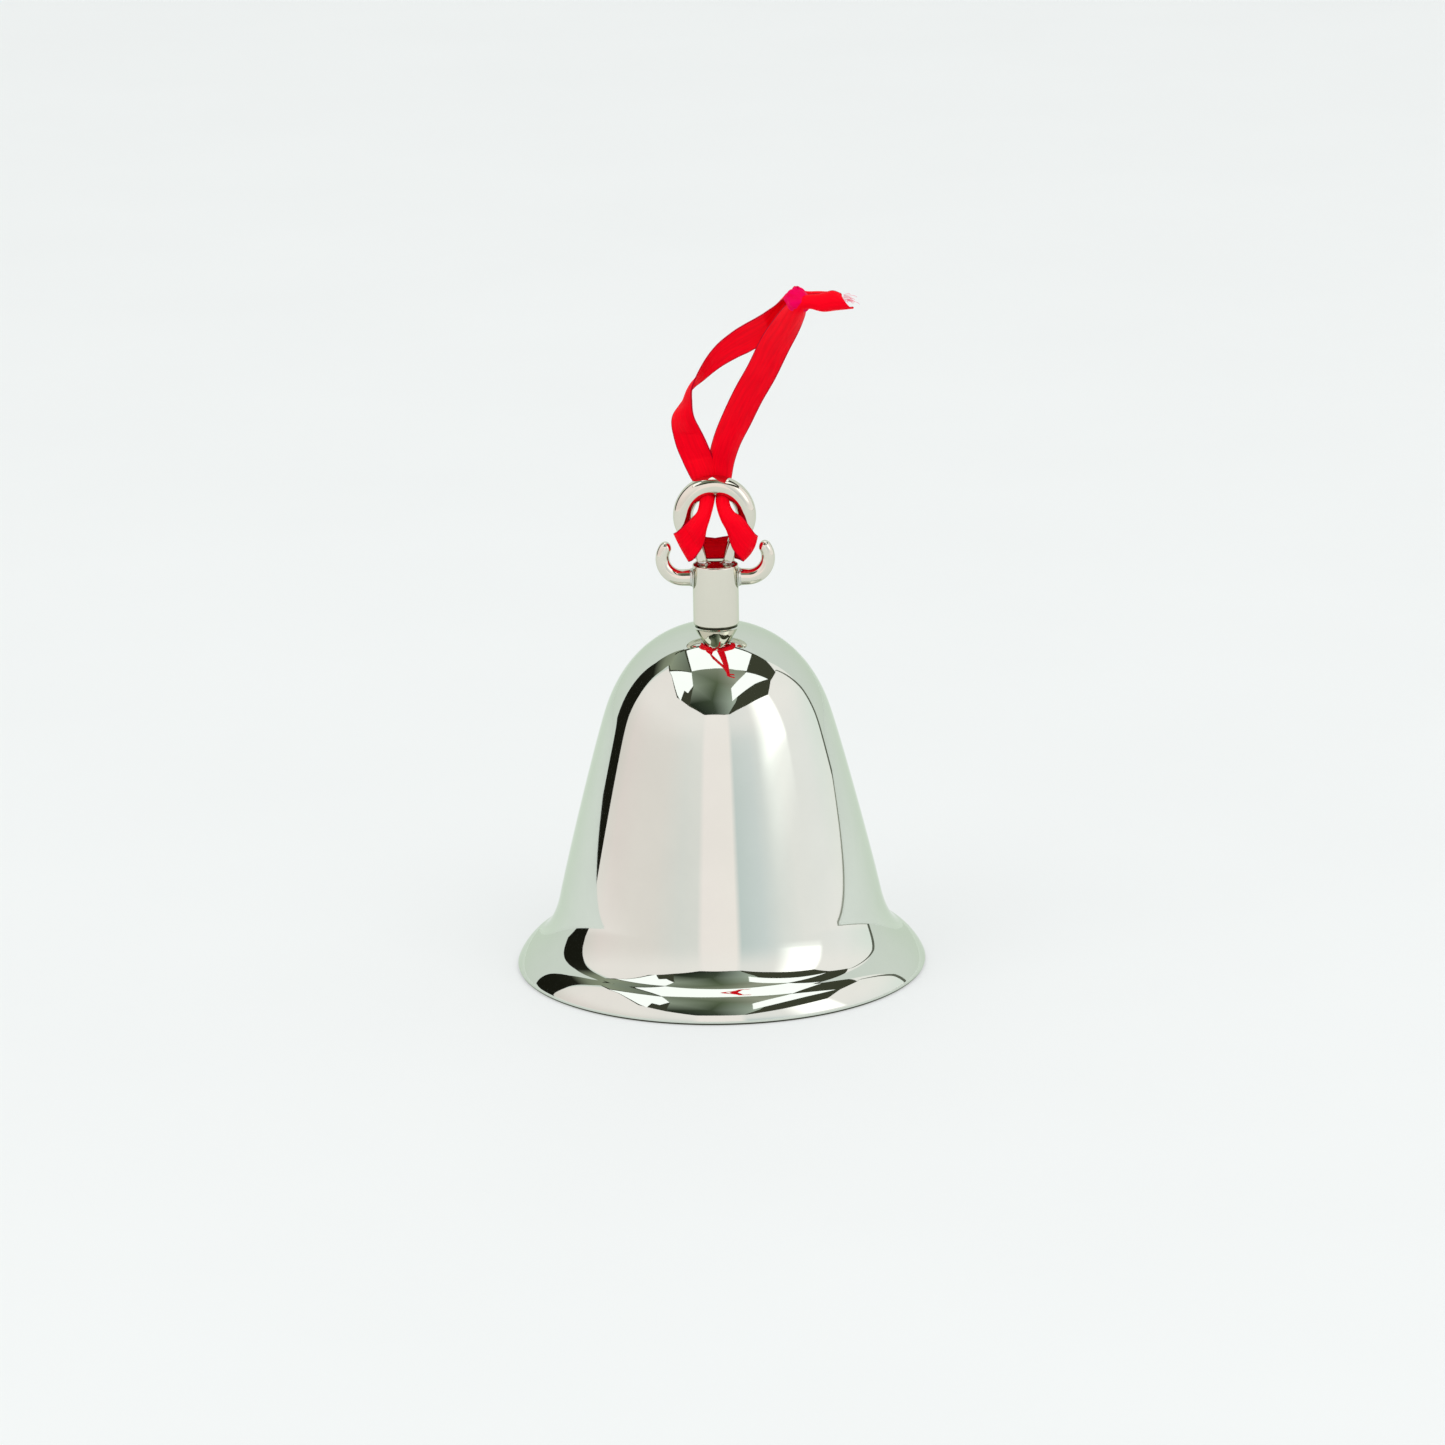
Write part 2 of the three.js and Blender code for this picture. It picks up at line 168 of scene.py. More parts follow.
def grid_faces(rows: int, columns: int, wrap_rows: bool, wrap_columns: bool) -> Array:
    """Four-cornered faces of a grid of rows by columns, wrapped round where asked.

    Args:
        rows, columns: the grid's size.
        wrap_rows, wrap_columns: whether the last joins the first.

    Returns:
        A (faces, 4) array of point numbers.
    """
    r = np.arange(rows if wrap_rows else rows - 1)[:, None]
    c = np.arange(columns if wrap_columns else columns - 1)[None, :]
    r2, c2 = (r + 1) % rows, (c + 1) % columns
    corners = [r * columns + c, r * columns + c2, r2 * columns + c2, r2 * columns + c]
    return np.stack([np.broadcast_to(x, (r.size, c.size)) for x in corners], -1).reshape(-1, 4)


def pole_caps(rows: int, turns: int) -> list[list[int]]:
    """Faces from a grid's first and last row to the two poles that are listed after it.

    Args:
        rows, turns: the grid's size.

    Returns:
        The three-cornered faces.
    """
    low, last = rows * turns, (rows - 1) * turns
    caps = [[low, (i + 1) % turns, i] for i in range(turns)]
    return caps + [[low + 1, last + i, last + (i + 1) % turns] for i in range(turns)]


def end_caps(rows: int, sides: int) -> list[list[int]]:
    """One face over each end of a tube."""
    end = (rows - 1) * sides
    return [list(range(sides))[::-1], list(range(end, end + sides))]


def spokes(turns: int) -> Array:
    """Level unit vectors at equal angles round the Z axis."""
    angle = np.arange(turns) * (math.tau / turns)
    return np.stack([np.cos(angle), np.sin(angle), np.zeros(turns)], 1)


@dataclass
class Skin:
    """A mesh in arrays: points, four-cornered faces, caps of any number of corners, and a
    map (u, v) in metres for each point where a pattern follows the surface."""

    points: Array
    quads: Array
    caps: list[list[int]] = field(default_factory=list)
    uv: Array | None = None
    inner: Array | None = None  # True for each four-cornered face that takes the second finish

    def build(self, name: str, finishes: list[bpy.types.Material]) -> bpy.types.Object:
        """Puts the arrays into a smooth-shaded object at the origin.

        Args:
            name: the piece's name.
            finishes: one material for each slot.

        Returns:
            The new object, linked to the scene.
        """
        mesh = bpy.data.meshes.new(name)
        faces = self.quads.tolist() + self.caps
        mesh.from_pydata(self.points.tolist(), [], faces)
        mesh.polygons.foreach_set("use_smooth", np.ones(len(faces), dtype=bool))
        if self.inner is not None:
            slots = np.zeros(len(faces), dtype=np.int32)
            slots[: len(self.quads)] = self.inner
            mesh.polygons.foreach_set("material_index", slots)
        if self.uv is not None:
            corner = np.empty(len(mesh.loops), dtype=np.int32)
            mesh.loops.foreach_get("vertex_index", corner)
            layer = mesh.uv_layers.new(name="surface")
            layer.data.foreach_set("uv", self.uv[corner].astype(np.float32).ravel())
        mesh.update()
        for finish in finishes:
            mesh.materials.append(finish)
        piece = bpy.data.objects.new(name, mesh)
        bpy.context.scene.collection.objects.link(piece)
        return piece


def lathe(outline: Array, turns: int) -> Skin:
    """A closed outline of (radius, height) carried round the Z axis.

    The point at angle a and outline place p is (r(p) cos a, r(p) sin a, z(p)). An outline that
    starts and ends on the axis gets one point at each pole; any other outline closes on itself.

    Args:
        outline: (n, 2) array, the solid on its left as it goes.
        turns: points round the axis.

    Returns:
        The closed skin.
    """
    on_axis = outline[0, 0] < 1e-9 and outline[-1, 0] < 1e-9
    ring = outline[1:-1] if on_axis else outline
    points = ring[:, None, :1] * spokes(turns)[None] + UP * ring[:, None, 1:]
    points = points.reshape(-1, 3)
    quads = grid_faces(len(ring), turns, not on_axis, True)
    if not on_axis:
        return Skin(points, quads)
    poles = [[0, 0, outline[0, 1]], [0, 0, outline[-1, 1]]]
    return Skin(np.vstack([points, poles]), quads, pole_caps(len(ring), turns))


def wire(
    line: Array, radius: Array, sides: int = 32, side: Array = BACK, closed: bool = False
) -> Skin:
    """Round wire: at each point of the line, a circle of that point's radius, square to the line.

    Args:
        line: (n, 3) centre points.
        radius: (n,) radii; a last radius near zero makes a rounded end.
        sides: points round the wire.
        side: a direction never along the line.
        closed: whether the wire is a ring.

    Returns:
        The closed skin.
    """
    first, second = frames(line, side, closed)
    turn = spokes(sides)[None]
    across = first[:, None] * turn[..., :1] + second[:, None] * turn[..., 1:2]
    points = (line[:, None] + across * radius[:, None, None]).reshape(-1, 3)
    caps = [] if closed else end_caps(len(line), sides)
    return Skin(points, grid_faces(len(line), sides, closed, True), caps)


def rounded_radius(line: Array, start: float, end: float) -> Array:
    """Radius along a wire that tapers evenly from start to end and stops half round.

    Args:
        line: centre points.
        start, end: the radius at each end.

    Returns:
        (n,) radii.
    """
    far = travelled(line)
    left = np.clip((far[-1] - far) / end, 0.0, 1.0)
    radius = start + (end - start) * far / far[-1]
    return radius * np.maximum(np.sqrt(1 - (1 - left) ** 2), 0.02)


# ---- finishes ----


class Look(Enum):
    """The named finishes of the ornament."""

    MIRROR = "mirror plate"
    CROWN = "warm mirror plate"
    RIM = "mirror plate, painted rim shade"
    FOOT = "warm mirror plate, painted foot shade"
    INSIDE = "satin inside"
    NICKEL = "bright nickel"
    SOLDER = "buffed solder"


class Nodes:
    """A short way to add shader nodes to one material and to join them."""

    def __init__(self, name: str) -> None:
        """Makes a material of that name with a surface shader and its output.

        Args:
            name: the material's name.
        """
        self.material = bpy.data.materials.new(name)
        self.material.use_nodes = True
        self.tree = self.material.node_tree
        self.shader = self.tree.nodes["Principled BSDF"]

    def add(self, kind: str, **settings: object) -> bpy.types.Node:
        """Adds a node; a setting that names an input socket is set there, any other on the node.

        Args:
            kind: the node's type.
            settings: values by name.

        Returns:
            The new node.
        """
        node = self.tree.nodes.new(kind)
        for key, value in settings.items():
            if key in node.inputs:
                node.inputs[key].default_value = value
            else:
                setattr(node, key, value)
        return node

    def join(self, source: bpy.types.NodeSocket, target: bpy.types.NodeSocket) -> None:
        """Joins one socket to another."""
        self.tree.links.new(source, target)

    def set(self, values: dict[str, object]) -> None:
        """Sets inputs of the surface shader by name."""
        for key, value in values.items():
            self.shader.inputs[key].default_value = value

    def paint(self, colour: bpy.types.NodeSocket) -> None:
        """Gives the surface its colour."""
        self.join(colour, self.shader.inputs["Base Color"])

    def place(self, kind: str = "Object") -> bpy.types.NodeSocket:
        """Where a point is on the piece, or on its surface map."""
        return self.add("ShaderNodeTexCoord").outputs[kind]

    def axes(self, place: bpy.types.NodeSocket) -> bpy.types.bpy_prop_collection:
        """The X, Y and Z of a place.

        Args:
            place: a vector socket.

        Returns:
            The node's three outputs.
        """
        node = self.add("ShaderNodeSeparateXYZ")
        self.join(place, node.inputs[0])
        return node.outputs

    def cloud(self, place: bpy.types.NodeSocket, **settings: float) -> bpy.types.NodeSocket:
        """A soft 0 to 1 noise over a place.

        Args:
            place: a vector socket.
            settings: the noise's own values.

        Returns:
            The noise.
        """
        node = self.add("ShaderNodeTexNoise", **settings)
        self.join(place, node.inputs["Vector"])
        return node.outputs["Fac"]

    def math(self, operation: str, a: object, b: float = 0.0) -> bpy.types.NodeSocket:
        """One step of arithmetic on a socket, and its result.

        Args:
            operation: what is done.
            a: a socket.
            b: a socket or a number.

        Returns:
            The result.
        """
        node = self.add("ShaderNodeMath", operation=operation)
        self.join(a, node.inputs[0])
        if isinstance(b, float):
            node.inputs[1].default_value = b
        else:
            self.join(b, node.inputs[1])
        return node.outputs[0]

    def spread(self, value: object, span: tuple[float, float],
               low: float = 0.0, high: float = 1.0) -> bpy.types.NodeSocket:
        """Goes from low to high while the value crosses the span.

        Args:
            value: a socket.
            span: the two values between which it changes.
            low, high: what it goes from and to.

        Returns:
            The result.
        """
        node = self.add("ShaderNodeMapRange")
        self.join(value, node.inputs["Value"])
        for key, number in zip(("From Min", "From Max", "To Min", "To Max"), (*span, low, high)):
            node.inputs[key].default_value = number
        return node.outputs["Result"]

    def blend(self, share: object, a: object, b: object) -> bpy.types.NodeSocket:
        """Goes from colour a to colour b by a share; each is a socket or three numbers.

        Args:
            share: a 0 to 1 socket.
            a, b: the two colours.

        Returns:
            The colour.
        """
        node = self.add("ShaderNodeMix", data_type="RGBA")
        self.join(share, node.inputs["Factor"])
        for key, colour in (("A", a), ("B", b)):
            if isinstance(colour, tuple):
                node.inputs[key].default_value = (*colour, 1.0)
            else:
                self.join(colour, node.inputs[key])
        return node.outputs["Result"]

    def ramp(self, value: object, stops: list[tuple[float, tuple]]) -> bpy.types.NodeSocket:
        """Colours in order along a 0 to 1 value.

        Args:
            value: a 0 to 1 socket.
            stops: places and their colours.

        Returns:
            The colour.
        """
        node = self.add("ShaderNodeValToRGB")
        self.join(value, node.inputs["Fac"])
        band = node.color_ramp
        while len(band.elements) < len(stops):
            band.elements.new(0.5)
        for element, (place, colour) in zip(band.elements, stops):
            element.position = place
            element.color = (*colour, 1.0)
        return node.outputs["Color"]

    def bump(self, height: object, distance: float) -> None:
        """Lays a fine relief of that height over what the shader already has.

        Args:
            height: a socket.
            distance: the relief's depth in metres.
        """
        node = self.add("ShaderNodeBump", Distance=distance)
        self.join(height, node.inputs["Height"])
        normal = self.shader.inputs["Normal"]
        if normal.is_linked:
            self.join(normal.links[0].from_socket, node.inputs["Normal"])
        self.join(node.outputs["Normal"], normal)


@dataclass(frozen=True)
class Plate:
    """Plated metal: colour, how far its gloss wanders, how deep its turning lines are, and below
    what height shade is painted on it.
    """

    look: Look
    colour: tuple[float, float, float]
    smooth: float  # least roughness
    rough: float  # most roughness
    line_depth: float = 0.0  # relief of the lines left by spinning, metres
    painted_shade_below: float = -1.0  # height under which shade is painted on the plate, metres
    painted_shade_fade: float = 0.06 * MM
    # colour of the painted shade
    black: tuple[float, float, float] = (0.055, 0.055, 0.04)

    def material(self) -> bpy.types.Material:
        """Builds the metal, with haze from a soft noise, rings from the height alone, and painted
        shade below a height.
        """
        nodes = Nodes(self.look.value)
        nodes.set({"Metallic": 1.0, "Specular Tint": (0.80, 0.87, 0.77, 1.0)})
        place = nodes.place()
        haze = nodes.cloud(place, Scale=90.0, Detail=4.0, Roughness=0.6)
        nodes.join(nodes.spread(haze, (0.0, 1.0), self.smooth, self.rough),
                   nodes.shader.inputs["Roughness"])
        dark = tuple(c * 0.965 for c in self.colour)
        tint = nodes.ramp(haze, [(0.35, dark), (0.7, self.colour)])
        height = nodes.axes(place)["Z"]
        # Painted shade: below this height the plate is blended to a dark colour, standing in for
        # the shadow at the rim's foot and at the post's seat.
        if self.painted_shade_below > 0:
            share = nodes.spread(height, (self.painted_shade_below, self.painted_shade_below + self.painted_shade_fade))
            tint = nodes.blend(share, self.black, tint)
        nodes.paint(tint)
        if self.line_depth:
            rings = nodes.add("ShaderNodeTexNoise", noise_dimensions="1D", Scale=9000.0,
                              Detail=2.0)
            nodes.join(height, rings.inputs["W"])
            nodes.bump(rings.outputs["Fac"], self.line_depth)
        return nodes.material


@dataclass(frozen=True)
class Satin:
    """Woven satin ribbon: fine threads along it, fainter ones across, and a corded edge."""

    name: str = "red satin"
    bright: tuple[float, float, float] = (1.0, 0.0, 0.012)
    deep: tuple[float, float, float] = (0.86, 0.0, 0.01)
    edge: tuple[float, float, float] = (0.52, 0.0, 0.02)
    warp_pitch: float = 0.11 * MM
    weft_pitch: float = 0.26 * MM
    half_width: float = 2.35 * MM
    edge_width: float = 0.22 * MM

    def material(self) -> bpy.types.Material:
        """Builds the cloth on the ribbon's own map: u along it and v across, in metres."""
        nodes = Nodes(self.name)
        nodes.set({"Roughness": 0.45, "Sheen Weight": 0.02, "Sheen Roughness": 0.3,
                   "Sheen Tint": (1.0, 0.05, 0.12, 1.0), "Specular IOR Level": 0.02})
        place = nodes.place("UV")
        axes = nodes.axes(place)
        warp = nodes.math("SINE", nodes.math("MULTIPLY", axes["Y"], math.tau / self.warp_pitch))
        weft = nodes.math("SINE", nodes.math("MULTIPLY", axes["X"], math.tau / self.weft_pitch))
        edge = nodes.spread(nodes.math("ABSOLUTE", axes["Y"]), (
            self.half_width - self.edge_width, self.half_width - self.edge_width / 3))
        stretch = nodes.add("ShaderNodeMapping", Scale=(160.0, 2400.0, 1.0))
        nodes.join(place, stretch.inputs["Vector"])
        streaks = nodes.cloud(stretch.outputs["Vector"], Scale=1.0, Detail=3.0)
        cloth = nodes.ramp(streaks, [(0.3, self.deep), (0.65, self.bright)])
        nodes.paint(nodes.blend(edge, cloth, self.edge))
        nodes.bump(nodes.math("ADD", warp, nodes.math("MULTIPLY", weft, 0.45)), 0.005 * MM)
        nodes.bump(streaks, 0.015 * MM)
        return nodes.material


@dataclass(frozen=True)
class Thread:
    """Loose ends of yarn, paler than the woven cloth."""

    name: str = "frayed yarn"
    colour: tuple[float, float, float] = (0.80, 0.32, 0.38)

    def material(self) -> bpy.types.Material:
        """Builds the yarn, with a slow change of shade along it."""
        nodes = Nodes(self.name)
        shade = nodes.cloud(nodes.place(), Scale=900.0)
        pale = tuple(min(1.0, c * 1.25) for c in self.colour)
        nodes.paint(nodes.ramp(shade, [(0.3, self.colour), (0.7, pale)]))
        nodes.set({"Roughness": 0.7})
        return nodes.material


MIRROR = Plate(Look.MIRROR, (0.69, 0.735, 0.665), 0.018, 0.04)
# The rim's lowest edge takes painted shade: a dark line for the shadow under the lip.
RIM = replace(MIRROR, look=Look.RIM, painted_shade_below=0.32 * MM)
CROWN = Plate(Look.CROWN, (0.72, 0.705, 0.61), 0.03, 0.07)
# The post's drawn-in foot takes painted shade: a dark line for the shadow gap at its seat.
FOOT = replace(CROWN, look=Look.FOOT, painted_shade_below=55.03 * MM)
INSIDE = Plate(Look.INSIDE, (0.58, 0.60, 0.56), 0.26, 0.36, 0.004 * MM)
NICKEL = Plate(Look.NICKEL, (0.64, 0.64, 0.60), 0.14, 0.26)
SOLDER = Plate(Look.SOLDER, (0.60, 0.62, 0.57), 0.10, 0.30)


def settle(skin: Skin, name: str, finishes: list[bpy.types.Material], body: str, slot: str,
           *nodes: str) -> bpy.types.Object:
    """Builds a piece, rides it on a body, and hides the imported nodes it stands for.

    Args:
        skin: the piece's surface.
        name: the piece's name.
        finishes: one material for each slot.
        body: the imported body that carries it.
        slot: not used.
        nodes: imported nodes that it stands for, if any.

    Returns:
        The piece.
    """
    piece = skin.build(name, finishes)
    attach(piece, body)
    if nodes:
        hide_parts(*nodes)
    log.info("%s on %s: %d faces", piece.name, body, len(piece.data.polygons))
    return piece


# ---- bell ----


@dataclass
class BellShell:
    """The spun shell: a dome, a long waist, a hollow flare and a rolled lip."""

    wall: float = 1.1 * MM
    seat_wall: float = 1.2 * MM
    seat_margin: float = 0.175 * MM
    inner_seat: float = 4.3 * MM
    bolt_hole: float = 1.8 * MM
    dome_rise: float = 0.3 * MM  # the dome's own top above its flat seat
    crown_pull: float = 8.7 * MM
    shoulder: tuple[float, float] = (17.5 * MM, 13.8 * MM)  # radius, and drop from the top
    shoulder_lean: float = 18.0
    waist: tuple[float, float] = (6.8 * MM, 11.2 * MM)  # inside the mouth's edge, and height
    waist_lean: float = 12.0
    roll: tuple[float, float] = (2.95 * MM, 4.32 * MM)
    roll_lean: float = 61.0
    flare_pull: float = 3.4 * MM
    roll_pull: float = 1.9 * MM
    edge_pull: float = 0.5 * MM
    edge_height: float = 0.6 * MM
    edge_round: float = 0.4 * MM
    turns: int = 224

    def sweep(self, start: tuple, lean: float, pull: float, end: tuple, lean_b: float,
              pull_b: float, count: int) -> Array:
        """A curve between two (radius, height) places, leaving and arriving at given leans.

        Args:
            start, end: the two places.
            lean, lean_b: angle from straight down, outwards, at each.
            pull, pull_b: length of each end's straight pull.
            count: number of points.

        Returns:
            A (count, 2) array.
        """
        a, b = np.array(start), np.array(end)
        way = [np.array([math.sin(t), -math.cos(t)]) for t in map(math.radians, (lean, lean_b))]
        return bezier(a, a + way[0] * pull, b - way[1] * pull_b, b, count)

    def outside(self, mouth: float, top: float) -> Array:
        """The outer outline from the dome's top down to the widest line, as (radius, height).

        Args:
            mouth: the mouth's radius.
            top: height of the dome's top.

        Returns:
            A (n, 2) array.
        """
        shoulder = (self.shoulder[0], top - self.shoulder[1])
        waist = (mouth - self.waist[0], self.waist[1])
        roll = (mouth - self.roll[0], self.roll[1])
        side = math.dist(shoulder, waist)
        lip = self.roll_pull
        parts = [
            self.sweep((0.0, top), 90, self.crown_pull, shoulder, self.shoulder_lean,
                       self.crown_pull, 120),
            self.sweep(shoulder, self.shoulder_lean, side / 6, waist, self.waist_lean,
                       side / 4, 60),
            self.sweep(waist, self.waist_lean, self.flare_pull, roll, self.roll_lean, lip, 60),
            self.sweep(roll, self.roll_lean, lip, (mouth, self.edge_height), 0,
                       self.edge_pull, 40),
        ]
        return np.vstack([parts[0]] + [p[1:] for p in parts[1:]])

    def build(self) -> None:
        """Builds the shell from its outline and its wall, and dresses both sides."""
        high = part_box("bell_shell")[1]
        mouth, seat = high.x, high.z
        outer = self.outside(mouth, seat + self.dome_rise)
        along = unit(np.gradient(outer, axis=0))
        inner = outer + np.stack([along[:, 1], -along[:, 0]], 1) * self.wall
        seat_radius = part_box("post")[1].x + self.seat_margin
        under = seat - self.seat_wall
        keep = (inner[:, 0] > self.inner_seat) & (inner[:, 1] > self.wall)
        inner = inner[keep & (inner[:, 1] < under)][::-1]
        outer = outer[outer[:, 0] > seat_radius]
        quarter = np.linspace(0, math.pi / 2, 10)[1:]
        lip = np.stack(
            [mouth - self.edge_round * (1 - np.cos(quarter)),
             self.edge_height * (1 - np.sin(quarter))], 1)
        foot = np.array([[mouth - self.wall - self.edge_round / 2, 0.0]])
        crown = np.array([[self.inner_seat, under], [self.bolt_hole, under],
                          [self.bolt_hole, seat], [seat_radius, seat]])
        outline = np.vstack([outer, lip, foot, inner, crown])
        skin = lathe(outline[::-1], self.turns)
        rows = np.repeat(np.arange(len(outline))[::-1], self.turns)
        first_inner = len(outer) + len(lip)
        skin.inner = (rows >= first_inner) & (rows < first_inner + len(inner) + 3)
        settle(skin, "polished_bell", [RIM.material(), INSIDE.material()], "root",
               "polished_metal", "bell_shell")


# ---- crown ----


@dataclass
class Crown:
    """The turned post, the wire ring with its two legs, and the two side hooks."""

    bevel: float = 0.28 * MM
    foot_inset: float = 0.22 * MM
    gap: float = 0.3 * MM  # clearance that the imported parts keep
    ring_radius: float = 4.85 * MM
    ring_wire: float = 1.55 * MM
    foot_wire: float = 0.875 * MM
    foot_spread: float = 2.05 * MM
    ring_rise: float = 7.25 * MM
    opening: float = 36.0
    hook_radius: float = 3.1 * MM
    hook_wire: float = 1.35 * MM
    hook_tip: float = 0.95 * MM
    hook_sweep: float = 140.0
    hook_stub: float = 1.2 * MM
    hook_drop: float = 2.2 * MM
    fillet: float = 0.5 * MM  # reach of the solder

    def corner(self, radius: float, height: float, start: float, size: float) -> Array:
        """A quarter round of that size about (radius, height), from the given angle on."""
        angle = np.radians(start + np.linspace(0, 90, 7))
        return np.stack([radius + size * np.cos(angle), height + size * np.sin(angle)], 1)

    def post(self) -> None:
        """The post: a cylinder with both edges eased, drawn in a little where it is seated."""
        low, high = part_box("post")
        radius, bottom, top, size = high.x, low.z - self.gap, high.z, self.bevel
        foot = radius - self.foot_inset
        outline = np.vstack([
            [[0.0, bottom], [foot - size / 2, bottom]],
            [[foot, bottom + size / 3], [foot, low.z - size / 4]],
            self.corner(radius - size / 2, low.z + size / 2, -90, size / 2),
            self.corner(radius - size, top - size, 0, size),
            [[0.0, top]],
        ])
        settle(lathe(outline, 96), "turned_post", [FOOT.material()], "root", "polished_metal",
               "post")

    def ring_line(self, top: float) -> Array:
        """Centre of the ring's wire: up one leg, round the ring, and down the other leg.

        Args:
            top: height of the post's top.

        Returns:
            A (300, 3) array.
        """
        centre = top + self.gap + self.ring_rise
        tilt = math.radians(self.opening)
        join = np.array([self.ring_radius * math.cos(tilt), 0.0,
                         centre - self.ring_radius * math.sin(tilt)])
        foot = np.array([self.foot_spread, 0.0, top + self.gap])
        pull = (join[2] - foot[2]) * 0.38
        leg = bezier(foot, foot + np.array([0.12, 0.0, 1.0]) * pull,
                     join - np.array([math.sin(tilt), 0.0, math.cos(tilt)]) * pull, join, 40)
        leg = np.vstack([foot - [0, 0, self.gap], leg])
        angle = np.linspace(-tilt, math.pi + tilt, 150)[1:-1]
        arc = np.stack([np.cos(angle), np.zeros_like(angle), np.sin(angle)], 1)
        arc = arc * self.ring_radius + [0, 0, centre]
        return evenly(np.vstack([leg, arc, leg[::-1] * [-1, 1, 1]]), 300)

    def ring(self) -> None:
        """The ring: wire of full thickness round the top, thinner down the legs."""
        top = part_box("post")[1].z
        line = self.ring_line(top)
        share = np.linspace(0, 1, len(line))
        near = np.clip(np.minimum(share, 1 - share) / 0.24, 0, 1)
        swell = near * near * (3 - 2 * near)
        radius = self.foot_wire + (self.ring_wire - self.foot_wire) * swell
        settle(wire(line, radius), "hanging_ring", [CROWN.material()], "root", "polished_metal",
               "crown_ring")
        for side, word in ((-1, "left"), (1, "right")):
            self.solder(f"foot_solder_{word}", Vector((side * self.foot_spread, 0, top)),
                        Vector((0, 0, 1)), self.foot_wire)

    def solder(self, name: str, place: Vector, way: Vector, radius: float) -> None:
        """A hollow-sided fillet of solder round a wire's foot.

        Args:
            name: the piece's name.
            place: the middle of the foot.
            way: the direction in which the wire leaves.
            radius: the wire's radius there.
        """
        angle = np.linspace(0, math.pi / 2, 10)
        reach, sunk = self.fillet, 0.12 * MM
        curve = np.stack([radius + reach - (reach - 0.02 * MM) * np.sin(angle),
                          reach - reach * np.cos(angle)], 1)
        outline = np.vstack([[[0, -sunk], [radius + reach, -sunk]], curve, [[0, reach]]])
        skin = lathe(outline, 40)
        turn = way.to_track_quat("Z", "Y").to_matrix()
        skin.points = skin.points @ np.array(turn).T + np.array(place)
        settle(skin, name, [SOLDER.material()], "root", "polished_metal")

    def hook(self, side: int, word: str) -> None:
        """A hook on one side: a short level root, then an arc that rises to a rounded tip.

        Args:
            side: -1 or 1, the way along X.
            word: the side's name.
        """
        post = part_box("post")[1]
        level = post.z - self.hook_drop
        start = post.x + self.gap
        angle = np.radians(np.linspace(0, self.hook_sweep, 80))
        arc = np.stack([start + self.hook_stub + self.hook_radius * np.sin(angle),
                        np.zeros_like(angle),
                        level + self.hook_radius * (1 - np.cos(angle))], 1)
        root = [[post.x - 0.15 * MM, 0, level], [start + self.hook_stub / 2, 0, level]]
        line = evenly(np.vstack([root, arc]), 160) * [side, 1, 1]
        radius = rounded_radius(line, self.hook_wire, self.hook_tip)
        settle(wire(line, radius), f"side_hook_{word}", [CROWN.material()], "root",
               "polished_metal", f"hook_{word}")
        self.solder(f"hook_solder_{word}", Vector((side * (post.x - 0.1 * MM), 0, level)),
                    Vector((side, 0, 0)), self.hook_wire)

    def build(self) -> None:
        """Builds the post, the ring and both hooks."""
        self.post()
        self.ring()
        self.hook(-1, "left")
        self.hook(1, "right")


# ---- eye bolt, washer and nut ----


